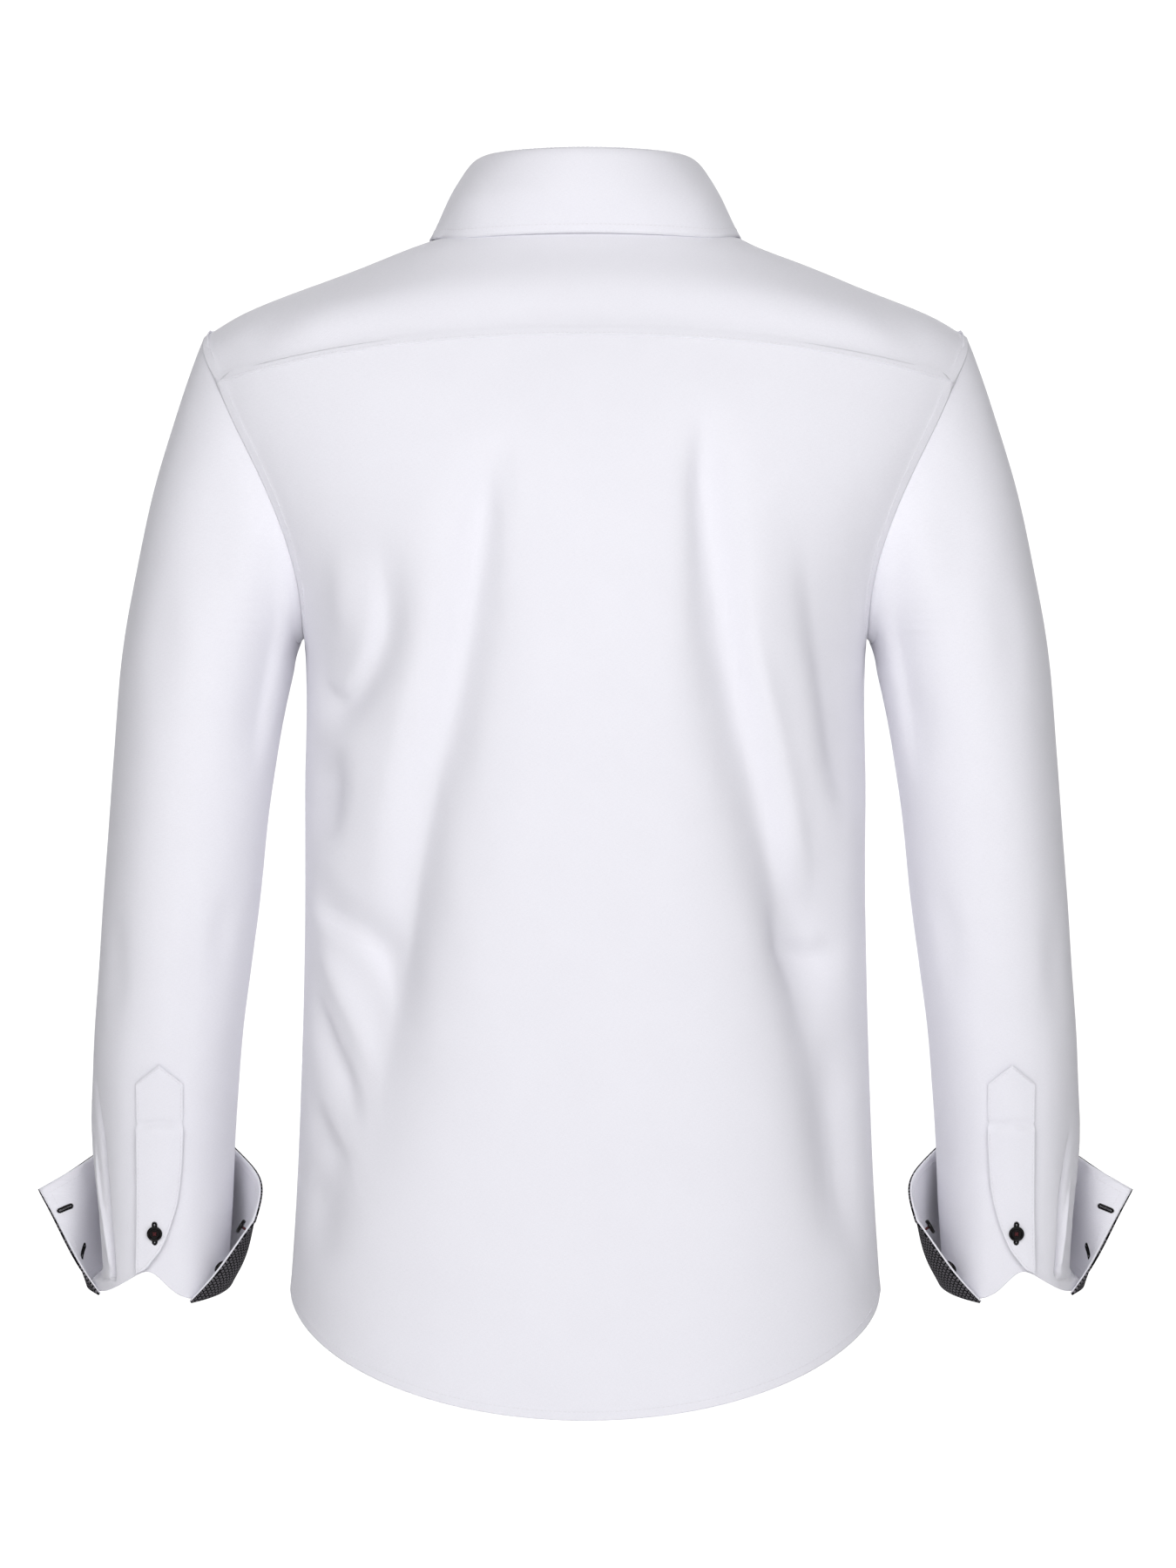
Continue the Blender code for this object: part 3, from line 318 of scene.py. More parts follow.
def smoothed(shape, levels):
    # Catmull-Clark subdivision, with the sheet's corners kept
    corners = shape.verts.layers.float.new("crease_vert")
    for vert in shape.verts:
        rim = [edge.other_vert(vert).co - vert.co for edge in vert.link_edges if edge.is_boundary]
        if len(rim) == 2 and rim[0].angle(rim[1]) < math.pi - cornerTurn:
            # An inward corner, such as a slit's top, is left to round off
            inner = [edge.other_vert(vert).co - vert.co for edge in vert.link_edges if not edge.is_boundary]
            outward = rim[0].normalized() + rim[1].normalized()
            vert[corners] = float(outward.dot(sum(inner, Vector())) >= 0)
    mesh = bpy.data.meshes.new("smoothing")
    shape.to_mesh(mesh)
    shape.free()
    helper = bpy.data.objects.new("smoothing", mesh)
    bpy.context.scene.collection.objects.link(helper)
    smoothing = helper.modifiers.new("smooth", "SUBSURF")
    smoothing.levels = smoothing.render_levels = levels
    smoothing.boundary_smooth = "PRESERVE_CORNERS"
    fine = bpy.data.meshes.new_from_object(helper.evaluated_get(bpy.context.evaluated_depsgraph_get()))
    bpy.data.objects.remove(helper)
    bpy.data.meshes.remove(mesh)
    return fine


def places(mesh):
    co = np.empty(len(mesh.vertices) * 3, np.float32)
    mesh.vertices.foreach_get("co", co)
    return co.reshape(-1, 3).astype(float)


def facings(mesh):
    out = np.empty(len(mesh.vertices) * 3, np.float32)
    mesh.vertex_normals.foreach_get("vector", out)
    return out.reshape(-1, 3).astype(float)


def setPlaces(mesh, co):
    mesh.vertices.foreach_set("co", co.astype(np.float32).ravel())
    mesh.update()


def treeOf(mesh):
    return BVHTree.FromPolygons([v.co for v in mesh.vertices], [p.vertices for p in mesh.polygons])


nodeTrees = {name: treeOf(node.data) for name, node in nodes.items()}


def fade(low, high, value):
    share = np.clip((value - low) / (high - low), 0, 1)
    return share * share * (3 - 2 * share)


def curveThrough(points, steps=10):
    # A smooth line through points, each stretch in even steps
    points = np.array(points, float)
    ends = np.vstack([2 * points[0] - points[1], points, 2 * points[-1] - points[-2]])
    line = []
    for i in range(1, len(ends) - 2):
        a, b, c, d = ends[i - 1:i + 3]
        for s in np.arange(steps) / steps:
            line.append(0.5 * (2 * b + (c - a) * s + (2 * a - 5 * b + 4 * c - d) * s**2
                               + (3 * b - a - 3 * c + d) * s**3))
    return np.array(line + [points[-1]])


def onCloth(tree, path, view):
    # A path given by x and z is dropped onto the cloth along the view, +1 from behind and -1 from the front;
    # one given by x, y and z goes to the nearest cloth
    line = []
    for place in curveThrough(path):
        if len(place) == 3:
            line.append(tree.find_nearest(Vector(place))[0])
            continue
        hit = tree.ray_cast(Vector((place[0], view, place[1])), Vector((0, -view, 0)))[0]
        if hit is None:
            hit = tree.find_nearest(Vector((place[0], 0, place[1])))[0]
        line.append(hit)
    return np.array(line)


def mirrored(path, mirror):
    return [(place[0] * mirror, *place[1:]) for place in path]


def creased(co, out, tree, folds, mirror=1):
    # Soft troughs (depth above 0) and ridges (below 0), each along its own path and fading at its ends;
    # a growing one is as many times wider and deeper where it ends as where it starts
    height = np.zeros(len(co))
    for fold in folds:
        line = onCloth(tree, mirrored(fold["path"], mirror), fold.get("view", 1))
        left, right = fold["sides"] if mirror > 0 else fold["sides"][::-1]
        grow = fold.get("grow", 1.0)
        reach = foldReach * max(left, right) * max(grow, 1)
        low, high = line.min(0) - reach, line.max(0) + reach
        near = np.flatnonzero(((co > low) & (co < high)).all(1))
        if not len(near):
            continue
        gap = co[near, None] - line[None]
        nearest = (gap**2).sum(2).argmin(1)
        along = np.gradient(line, axis=0)[nearest]
        along /= np.linalg.norm(along, axis=1)[:, None]
        step = gap[np.arange(len(near)), nearest]
        lengthwise = (step * along).sum(1)
        sideways = np.cross(along, out[near])
        sideways /= np.linalg.norm(sideways, axis=1)[:, None]
        across = np.sqrt(np.maximum((step**2).sum(1) - lengthwise**2, 0))
        side = np.where((step * sideways).sum(1) < 0, -across, across)
        share = np.clip((nearest + lengthwise / np.linalg.norm(line[1] - line[0])) / (len(line) - 1), -1, 2)
        start, end = fold["fade"]
        strength = fade(0, start, share) * (1 - fade(1 - end, 1, share))
        scale = 1 + (grow - 1) * np.clip(share, 0, 1)
        width = np.where(side < 0, left, right) * scale
        height[near] -= fold["depth"] * scale * strength * np.exp(-((side / width) ** 2))
    return height


def gapTo(co, points):
    # How far each point of the cloth is from the nearest of some points
    tree = KDTree(len(points))
    for i, point in enumerate(points):
        tree.insert(point, i)
    tree.balance()
    return np.array([tree.find(Vector(p))[2] for p in co])


def refined(mesh, paths, reach, view=1):
    # More faces beside a sharp fold
    tree = treeOf(mesh)
    line = [point for path in paths for point in onCloth(tree, path, view)]
    near = gapTo(places(mesh), line) < reach
    shape = bmesh.new()
    shape.from_mesh(mesh)
    edges = [edge for edge in shape.edges if all(near[vert.index] for vert in edge.verts)]
    bmesh.ops.subdivide_edges(shape, edges=edges, cuts=1, use_grid_fill=True)
    shape.to_mesh(mesh)
    shape.free()


def rumpled(co, size, depth, seed):
    # Faint uneven swells of soft cloth
    shift = Vector((seed * 3.7, seed * 1.3, seed * 2.1))
    return depth * np.array([noise.noise(Vector(p) / size + shift) for p in co])


def edgeLoops(mesh):
    # Each cut edge of a sheet as an ordered run of vertices, with which way is into the cloth
    shape = bmesh.new()
    shape.from_mesh(mesh)
    shape.verts.ensure_lookup_table()
    loose = dict.fromkeys(edge for edge in shape.edges if edge.is_boundary)  # in the mesh's own order
    runs = []
    while loose:
        edge = next(iter(loose))
        loose.pop(edge)
        run = [edge.verts[0], edge.verts[1]]
        into = [edge.link_faces[0].calc_center_median()]
        while run[-1] is not run[0]:
            following = next((e for e in run[-1].link_edges if e in loose), None)
            if following is None:
                break
            loose.pop(following)
            into.append(following.link_faces[0].calc_center_median())
            run.append(following.other_vert(run[-1]))
        run.pop()
        runs.append([
            {"index": v.index, "co": v.co.copy(), "out": v.normal.copy(), "middle": m}
            for v, m in zip(run, into)
        ])
    shape.free()
    for run in runs:
        for i, point in enumerate(run):
            along = (run[(i + 1) % len(run)]["co"] - run[i - 1]["co"]).normalized()
            inward = point["out"].cross(along).normalized()
            if inward.dot(point["middle"] - point["co"]) < 0:
                inward.negate()
            point["inward"] = inward
            point["sewnTo"] = [
                name for name, tree in nodeTrees.items()
                if tree.find_nearest(point["co"], seamReach)[0] is not None
            ]
    return runs


def stretches(loops, test):
    # The runs of an edge whose points pass a test, in order
    found = []
    for loop in loops:
        passing = [test(point) for point in loop]
        if all(passing):
            found.append(loop + loop[:1])
            continue
        if not any(passing):
            continue
        first = next(i for i in range(len(loop)) if passing[i] and not passing[i - 1])
        turned = loop[first:] + loop[:first]
        run = []
        for point in turned:
            if test(point):
                run.append(point)
            elif run:
                found.append(run)
                run = []
        if run:
            found.append(run)
    return [run for run in found if len(run) > 2]


def sewnTo(*names):
    return lambda point: any(name in point["sewnTo"] for name in names)


def free(own):
    return lambda point: not [name for name in point["sewnTo"] if name not in own]


def writeCut(mesh, u, v, around=None):
    # Lays the cloth's own warp and weft on the sheet as a UV map, in metres; around is the length of a
    # closed turn
    layer = mesh.uv_layers.new(name="cut")
    corner = np.empty(len(mesh.loops), np.int32)
    mesh.loops.foreach_get("vertex_index", corner)
    uv = np.stack([u[corner], v[corner]], 1)
    if around:
        for face in mesh.polygons:
            run = slice(face.loop_start, face.loop_start + face.loop_total)
            if np.ptp(uv[run, 0]) > around / 2:
                uv[run, 0] = np.where(uv[run, 0] < 0, uv[run, 0] + around, uv[run, 0])
    layer.data.foreach_set("uv", uv.astype(np.float32).ravel())


def tuckedUnder(mesh, runs, depth, sink):
    # The seam allowance: the cut edge goes on under its neighbour, tapering away where the seam ends;
    # a seam all round, as at an armhole, has no end
    for run in runs:
        ends = [] if run[0] is run[-1] else [run[0]["co"], run[-1]["co"]]
        for point in run:
            away = min(((point["co"] - end).length for end in ends), default=2 * depth)
            least = torso["tuckEnd"]
            point["share"] = least + (1 - least) * float(fade(0, 2 * depth, away))
    shape = bmesh.new()
    shape.from_mesh(mesh)
    shape.verts.ensure_lookup_table()
    ways = {shape.verts[point["index"]]: point for run in runs for point in run}
    edges = [e for e in shape.edges if e.is_boundary and all(v in ways for v in e.verts)]
    for reachShare, dropShare in torso["tuckSteps"]:
        made = bmesh.ops.extrude_edge_only(shape, edges=edges)["geom"]
        fresh = {g for g in made if isinstance(g, bmesh.types.BMVert)}
        edges = [g for g in made if isinstance(g, bmesh.types.BMEdge) and fresh.issuperset(g.verts)]
        carried = {}
        for vert in fresh:
            source = next(e.other_vert(vert) for e in vert.link_edges if e.other_vert(vert) in ways)
            carried[vert] = ways[source]
        for vert, point in carried.items():
            step = point["inward"] * (reachShare * depth) + point["out"] * (dropShare * sink)
            vert.co -= step * point["share"]
        ways.update(carried)
    bmesh.ops.recalc_face_normals(shape, faces=shape.faces)
    shape.faces.ensure_lookup_table()
    if shape.faces[0].normal.dot(mesh.polygons[0].normal) < 0:
        bmesh.ops.reverse_faces(shape, faces=shape.faces)
    shape.to_mesh(mesh)
    shape.free()


def addPiece(name, mesh, material, stoodFor=(), thickness=None):
    # A finished piece at the origin, riding on the shirt
    mesh.materials.clear()
    mesh.materials.append(material)
    mesh.shade_smooth()
    piece = bpy.data.objects.new(name, mesh)
    bpy.context.scene.collection.objects.link(piece)
    if thickness:
        wall = piece.modifiers.new("wall", "SOLIDIFY")
        wall.thickness = thickness
        wall.offset = -1
        wall.use_even_offset = False
    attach(piece, "root")
    if stoodFor:
        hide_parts(*stoodFor)
    return piece


# Torso

torso = {
    "levels": 3,
    "band": 0.0062,  # metres, of the seam allowance along every cut edge
    "thickness": 0.0007,
    "lap": 0.0003,  # how far a lapped edge stands over its neighbour
    "tuck": 0.005,  # how far a cut edge goes on under its neighbour
    "sink": 0.0009,
    "tuckSteps": ((0.25, 0.7), (0.75, 0.3)),  # the shares of both at each of its two rows
    "tuckEnd": 0.04,  # what is left of them where the seam ends
    "calm": (0.001, 0.022),  # the folds fade out this near a seam
    "dressed": (0.0056, 0.0068),  # and the lift of a lapped edge or a hem this far from it
    "swell": 0.0009,
    "swellSize": 0.07,
    "hem": 0.00025,
    "girthRadius": 0.15,
    "girthDepth": 0.03,
}

backFolds = [
    {"path": [(0.058, -0.125), (0.0605, -0.17), (0.0655, -0.21), (0.0725, -0.25), (0.084, -0.3),
              (0.099, -0.35), (0.111, -0.4), (0.121, -0.45), (0.129, -0.5), (0.133, -0.56),
              (0.135, -0.62)],
     "sides": (0.0066, 0.011), "depth": 0.006, "grow": 5.2, "fade": (0.12, 0.4)},
    {"path": [(0.082, -0.19), (0.096, -0.25), (0.111, -0.3), (0.125, -0.355), (0.133, -0.41),
              (0.136, -0.45)],
     "sides": (0.013, 0.011), "depth": -0.003, "grow": 1.3, "fade": (0.4, 0.4)},
    {"path": [(0.05, -0.11), (0.048, -0.15), (0.044, -0.2)],
     "sides": (0.005, 0.009), "depth": 0.0014, "fade": (0.5, 0.5)},
    {"path": [(-0.07, -0.1), (-0.0715, -0.16), (-0.0775, -0.21), (-0.0845, -0.25), (-0.0965, -0.3),
              (-0.11, -0.345), (-0.1235, -0.39), (-0.137, -0.43), (-0.146, -0.475), (-0.152, -0.53),
              (-0.157, -0.625)],
     "sides": (0.0095, 0.0066), "depth": 0.006, "grow": 5.6, "fade": (0.1, 0.3)},
    {"path": [(-0.09, -0.19), (-0.101, -0.245), (-0.115, -0.3), (-0.13, -0.35), (-0.141, -0.395),
              (-0.153, -0.425)],
     "sides": (0.009, 0.01), "depth": -0.0044, "grow": 1.25, "fade": (0.4, 0.35)},
    {"path": [(-0.115, -0.412), (-0.134, -0.436), (-0.154, -0.443), (-0.169, -0.438)],
     "sides": (0.0065, 0.016), "depth": 0.0058, "fade": (0.35, 0.3)},
    {"path": [(0.1235, -0.185), (0.12, -0.225), (0.126, -0.258), (0.14, -0.284), (0.153, -0.289),
              (0.164, -0.272)],
     "sides": (0.015, 0.0075), "depth": 0.0062, "fade": (0.35, 0.25)},
    {"path": [(0.142, -0.19), (0.146, -0.225), (0.149, -0.255)],
     "sides": (0.014, 0.014), "depth": -0.003, "fade": (0.45, 0.45)},
    {"path": [(0.15, -0.305), (0.158, -0.345), (0.161, -0.385)],
     "sides": (0.017, 0.026), "depth": 0.0076, "fade": (0.45, 0.45)},
    {"path": [(0.17, -0.405), (0.158, -0.42), (0.142, -0.433), (0.129, -0.455), (0.12, -0.485)],
     "sides": (0.016, 0.006), "depth": 0.006, "fade": (0.25, 0.5)},
    {"path": [(0.166, -0.43), (0.156, -0.462), (0.143, -0.495), (0.131, -0.53)],
     "sides": (0.009, 0.009), "depth": -0.0036, "fade": (0.3, 0.45)},
    {"path": [(0.169, -0.465), (0.161, -0.495), (0.15, -0.522), (0.137, -0.552)],
     "sides": (0.006, 0.011), "depth": 0.005, "fade": (0.3, 0.45)},
    {"path": [(0.172, -0.53), (0.158, -0.558), (0.14, -0.575)],
     "sides": (0.007, 0.013), "depth": 0.0044, "fade": (0.35, 0.5)},
    {"path": [(-0.128, -0.17), (-0.139, -0.225), (-0.149, -0.275), (-0.157, -0.32), (-0.166, -0.375)],
     "sides": (0.026, 0.012), "depth": 0.0064, "grow": 1.5, "fade": (0.4, 0.3)},
    {"path": [(-0.164, -0.48), (-0.16, -0.53), (-0.16, -0.59), (-0.161, -0.64)],
     "sides": (0.022, 0.03), "depth": 0.011, "fade": (0.4, 0.45)},
    {"path": [(0.162, -0.56), (0.162, -0.6), (0.163, -0.64)],
     "sides": (0.026, 0.02), "depth": 0.006, "fade": (0.45, 0.5)},
]

# The yoke rounds over the shoulders
yokeFolds = [
    {"path": [(-0.205, -0.075), (-0.15, -0.057), (-0.08, -0.042), (0, -0.037), (0.08, -0.042),
              (0.15, -0.057), (0.205, -0.075)],
     "sides": (0.018, 0.022), "depth": -0.0046, "fade": (0.15, 0.15)},
]

frontFolds = {
    "left": [
        {"path": [(0.156, -0.165), (0.136, -0.215), (0.12, -0.29), (0.112, -0.38), (0.111, -0.45)],
         "sides": (0.01, 0.02), "depth": 0.0058, "fade": (0.3, 0.5), "view": -1},
        {"path": [(0.17, -0.25), (0.156, -0.295), (0.14, -0.35)],
         "sides": (0.01, 0.012), "depth": -0.003, "fade": (0.4, 0.5), "view": -1},
        {"path": [(0.169, -0.385), (0.152, -0.415), (0.128, -0.455), (0.112, -0.52)],
         "sides": (0.009, 0.015), "depth": 0.0052, "fade": (0.3, 0.5), "view": -1},
        {"path": [(0.056, -0.25), (0.06, -0.34), (0.057, -0.45), (0.061, -0.54)],
         "sides": (0.013, 0.017), "depth": 0.0032, "fade": (0.4, 0.4), "view": -1},
        {"path": [(0.166, -0.505), (0.147, -0.55), (0.123, -0.585)],
         "sides": (0.009, 0.013), "depth": 0.004, "fade": (0.35, 0.5), "view": -1},
    ],
    "right": [
        {"path": [(-0.153, -0.175), (-0.131, -0.23), (-0.117, -0.31), (-0.113, -0.41),
                  (-0.118, -0.5)],
         "sides": (0.02, 0.01), "depth": 0.0062, "fade": (0.3, 0.5), "view": -1},
        {"path": [(-0.17, -0.29), (-0.154, -0.335), (-0.138, -0.395)],
         "sides": (0.011, 0.01), "depth": -0.003, "fade": (0.4, 0.5), "view": -1},
        {"path": [(-0.168, -0.42), (-0.15, -0.455), (-0.128, -0.49)],
         "sides": (0.014, 0.009), "depth": 0.0048, "fade": (0.3, 0.5), "view": -1},
        {"path": [(-0.062, -0.29), (-0.058, -0.39), (-0.064, -0.5)],
         "sides": (0.016, 0.013), "depth": 0.003, "fade": (0.4, 0.4), "view": -1},
        {"path": [(-0.166, -0.545), (-0.143, -0.59), (-0.12, -0.64)],
         "sides": (0.013, 0.009), "depth": 0.004, "fade": (0.35, 0.5), "view": -1},
    ],
}


def bandedSheet(name, facing, levels):
    # A node's outer side, smoothed, with a band of even width inside its cut edges
    shape = outerSheet(name, facing)
    bmesh.ops.inset_region(shape, faces=shape.faces[:], thickness=torso["band"], depth=0, use_boundary=True,
                           use_even_offset=True)
    return smoothed(shape, levels)


def tucked(piece, loops, names):
    tuckedUnder(piece.data, stretches(loops, sewnTo(*names)), torso["tuck"], torso["sink"])


def seamDressed(mesh, name, over, lap, hem):
    # Lifts the edges that lie over a neighbour, thickens a hem, and gives the edge runs back
    loops = edgeLoops(mesh)
    co, out = places(mesh), facings(mesh)
    lift = np.zeros(len(co))
    for test, height in ((sewnTo(*over), lap), (free([name]), hem)):
        runs = stretches(loops, test)
        if height and runs:
            gap = gapTo(co, [point["co"] for run in runs for point in run])
            lift += height * (1 - fade(*torso["dressed"], gap))
    setPlaces(mesh, co + out * lift[:, None])
    return edgeLoops(mesh)


def torsoPanel(name, facing, folds, over, seed, hem=0.0):
    mesh = bandedSheet(name, facing, torso["levels"])
    co, out = places(mesh), facings(mesh)
    loops = edgeLoops(mesh)
    sewn = [point["co"] for loop in loops for point in loop if len(point["sewnTo"]) > 1]
    calm = fade(*torso["calm"], gapTo(co, sewn))
    height = creased(co, out, treeOf(mesh), folds)
    height += rumpled(co, torso["swellSize"], torso["swell"], seed)
    setPlaces(mesh, co + out * (height * calm)[:, None])
    loops = seamDressed(mesh, name, over, torso["lap"], hem)
    angle = np.arctan2(co[:, 0], np.abs(co[:, 1]) + torso["girthDepth"])
    writeCut(mesh, angle * torso["girthRadius"], co[:, 2])
    made = addPiece(name + "_cloth", mesh, white, [name], torso["thickness"])
    return made, loops


sleeveNames, frontNames = ["sleeve_left", "sleeve_right"], ["front_left", "front_right"]
back, backEdges = torsoPanel("back_panel", (0, 1, 0), backFolds, sleeveNames + frontNames, 1, torso["hem"])
tucked(back, backEdges, ["yoke"])
yoke, yokeEdges = torsoPanel("yoke", (0, 1, 0.4), yokeFolds, ["back_panel"] + frontNames + sleeveNames, 2)
fronts, frontEdges = {}, {}
for side, mirror in (("left", 1), ("right", -1)):
    name = "front_" + side
    front, edges = torsoPanel(name, (0, -1, 0), frontFolds[side], ["sleeve_" + side], 3 + mirror,
                              torso["hem"])
    tucked(front, edges, ["yoke", "back_panel"])
    fronts[side], frontEdges[side] = front, edges
print("torso made")


# Sleeves

sleeveLook = {
    "levels": 3,
    "thickness": 0.0007,
    "calm": (0.001, 0.02),  # the folds fade out this near a seam
    "pleatCalm": 0.004,
    "pleatReach": (0.012, 0.004),  # finer cloth this near a pleat, and finer again
    "swell": 0.0009,
    "swellSize": 0.06,
    "radius": 0.052,
    "middle": (-0.02, 0.22, 0.28),  # the sleeve's axis: its y, and its x at the top and at the cuff
    "middleRun": (-0.1, -0.5),
}

sleeveFolds = [
    {"path": [(0.19, -0.195), (0.1905, -0.25), (0.1985, -0.3), (0.208, -0.345)],
     "sides": (0.01, 0.024), "depth": 0.0046, "fade": (0.4, 0.4)},
    {"path": [(0.196, -0.15), (0.207, -0.205), (0.212, -0.27)],
     "sides": (0.014, 0.014), "depth": -0.003, "fade": (0.5, 0.5)},
    {"path": [(0.248, -0.19), (0.257, -0.25), (0.26, -0.32)],
     "sides": (0.013, 0.012), "depth": 0.0014, "fade": (0.5, 0.5)},
    {"path": [(0.214, -0.395), (0.223, -0.43), (0.227, -0.475)],
     "sides": (0.01, 0.011), "depth": 0.0018, "fade": (0.45, 0.5)},
    {"path": [(0.289, -0.4), (0.288, -0.45), (0.2905, -0.5)],
     "sides": (0.011, 0.012), "depth": 0.0016, "fade": (0.5, 0.5)},
    {"path": [(0.205, -0.24), (0.225, -0.3), (0.25, -0.345), (0.27, -0.37)],
     "sides": (0.012, 0.014), "depth": 0.0022, "fade": (0.4, 0.5), "view": -1},
    {"path": [(0.208, -0.3), (0.233, -0.345), (0.262, -0.385)],
     "sides": (0.013, 0.012), "depth": -0.002, "fade": (0.4, 0.5), "view": -1},
    {"path": [(0.215, -0.35), (0.24, -0.395), (0.275, -0.42)],
     "sides": (0.011, 0.012), "depth": 0.002, "fade": (0.4, 0.5), "view": -1},
    {"path": [(0.245, -0.11), (0.252, -0.16), (0.25, -0.215)],
     "sides": (0.012, 0.012), "depth": 0.0014, "fade": (0.5, 0.5), "view": -1},
]

# The pleats that run down into each cuff, a sharp line and the folded edge beside it
pleats = {
    "left": [
        {"path": [(0.3046, -0.5068), (0.301, -0.5401), (0.2982, -0.5601), (0.2963, -0.5921),
                  (0.2948, -0.6133), (0.2933, -0.6329), (0.2929, -0.649)],
         "sides": (0.0011, 0.004), "depth": 0.0074, "fade": (0.4, 0.06)},
        {"path": [(0.306, -0.556), (0.3047, -0.5717), (0.3025, -0.5932), (0.3, -0.6077),
                  (0.297, -0.6285), (0.295, -0.647)],
         "sides": (0.0014, 0.0022), "depth": -0.0022, "fade": (0.4, 0.12)},
        {"path": [(0.34, -0.05, -0.53), (0.338, -0.05, -0.57), (0.336, -0.048, -0.61),
                  (0.333, -0.046, -0.656)],
         "sides": (0.022, 0.024), "depth": 0.0118, "fade": (0.8, 0.12)},
    ],
    "right": [
        {"path": [(0.301, -0.55), (0.2972, -0.5758), (0.2944, -0.5968), (0.2936, -0.6209),
                  (0.2922, -0.646)],
         "sides": (0.0011, 0.004), "depth": 0.0072, "fade": (0.4, 0.06)},
        {"path": [(0.304, -0.578), (0.2995, -0.602), (0.2975, -0.622), (0.295, -0.644)],
         "sides": (0.0014, 0.0022), "depth": -0.002, "fade": (0.4, 0.12)},
        {"path": [(0.34, -0.05, -0.54), (0.338, -0.05, -0.575), (0.336, -0.048, -0.61),
                  (0.333, -0.046, -0.656)],
         "sides": (0.022, 0.024), "depth": 0.0098, "fade": (0.8, 0.12)},
    ],
}


def sleevePiece(side, mirror):
    name, look = "sleeve_" + side, sleeveLook
    mesh = bandedSheet(name, (mirror, 0, 0), look["levels"])
    sharp = [mirrored(pleat["path"], mirror) for pleat in pleats[side][:2]]
    for reach in look["pleatReach"]:
        refined(mesh, sharp, reach)
    co, out = places(mesh), facings(mesh)
    sewn = [point["co"] for loop in edgeLoops(mesh) for point in loop if len(point["sewnTo"]) > 1]
    gap, tree = gapTo(co, sewn), treeOf(mesh)
    height = creased(co, out, tree, sleeveFolds, mirror)
    height += rumpled(co * [mirror, 1, 1], look["swellSize"], look["swell"], 5)
    height = height * fade(*look["calm"], gap)
    height += creased(co, out, tree, pleats[side], mirror) * fade(0, look["pleatCalm"], gap)
    setPlaces(mesh, co + out * height[:, None])
    loops = edgeLoops(mesh)
    deep, top, bottom = look["middle"]
    middle = mirror * (top + (bottom - top) * fade(*look["middleRun"], co[:, 2]))
    angle = np.arctan2(co[:, 0] - middle, deep - co[:, 1])
    writeCut(mesh, angle * look["radius"], co[:, 2], 2 * math.pi * look["radius"])
    made = addPiece(name + "_cloth", mesh, white, [name], look["thickness"])
    tucked(made, loops, ["back_panel", "yoke", "front_" + side])
    return made


# Collar, plackets and cuffs

collar = {
    "levels": 3,
    "thickness": 0.0016,
    "radius": 0.07,  # of the neck, round which the warp runs
    "leafTurn": math.radians(75),
    "gap": 0.0019,  # the leaf's lower edge lies this far over the shoulders
    "reach": 0.03,  # how far up the leaf that bends it
    "shared": 12,  # points of the edge that each point of the leaf follows
    "edgeTop": 0.02,  # the lower edge is below this height
    "leafTop": 0.03,
    "behind": (0.012, 0.036),  # the y over which the edge turns from beside the neck to behind it
    "front": (-0.045, -0.02),  # the y over which it comes away to the points
    "furthest": 0.02,
}


def resting(mesh, below, look, start=0.01, soft=0.002):
    # Lets the leaf's lower edge down on the cloth: forward behind the neck, and straight down beside it
    trees = [treeOf(piece.data) for piece in below]
    edge, drop = [], []
    for point in edgeLoops(mesh)[0]:
        place = point["co"]
        behind = float(fade(*look["behind"], place.y)) * math.pi / 2
        way = Vector((0, -math.sin(behind), -math.cos(behind)))
        hits = [tree.ray_cast(place - way * start, way)[3] for tree in trees]
        gap = min((hit for hit in hits if hit is not None), default=1) - start
        if place.z < look["edgeTop"] and place.y > look["front"][0] and gap < look["furthest"]:
            edge.append(place)
            drop.append(way * (gap - look["gap"]) * float(fade(*look["front"], place.y)))
    tree = KDTree(len(edge))
    for i, place in enumerate(edge):
        tree.insert(place, i)
    tree.balance()
    co = places(mesh)
    for i, place in enumerate(co):
        near = tree.find_n(Vector(place), look["shared"])
        weights = np.array([1 / (away + soft) for _, _, away in near])
        drops = np.array([drop[nearest] for _, nearest, _ in near])
        if place[2] < look["leafTop"]:
            shift = (drops * weights[:, None]).sum(0) / weights.sum()
            co[i] += shift * (1 - fade(0, look["reach"], near[0][2]))
    setPlaces(mesh, co)


# The sleeve placket lies flat down to a bar of stitches, and its free strip stands a little higher below it
tower = {
    "levels": 4,
    "thickness": 0.0006,
    "settle": 0.0007,
    "barZ": -0.5497,
    "step": 0.0014,
    "stepRun": (0.0004, -0.0020),  # up and down from the bar
    "groove": 0.0016,
    "grooveUp": 0.0008,
    "grooveWidth": 0.0011,
}


def towerHeight(co, look):
    up = co[:, 2] - look["barZ"]
    groove = look["groove"] * np.exp(-(((up - look["grooveUp"]) / look["grooveWidth"]) ** 2))
    return fade(*look["stepRun"], up) * look["step"] - groove - look["settle"]


cuff = {
    "levels": 3,
    "thickness": 0.0010,
    "radius": 0.045,
    "wingX": 0.30,  # the outer wing starts here
    "wingSlant": 0.75,  # and its end is as upright as this
    "wingBeyond": 0.0007,
}
facingLook = {**cuff, "thickness": 0.0012}
frontStand = {"levels": 3, "thickness": 0.0007}


def pushedOut(mesh, look):
    # The facing stands a hair past the cuff's own cloth down the upright end of the outer wing
    co = places(mesh)
    for point in edgeLoops(mesh)[0]:
        if abs(point["co"].x) > look["wingX"] and abs(point["inward"].z) < look["wingSlant"]:
            co[point["index"]] -= np.array(point["inward"]) * look["wingBeyond"]
    setPlaces(mesh, co)


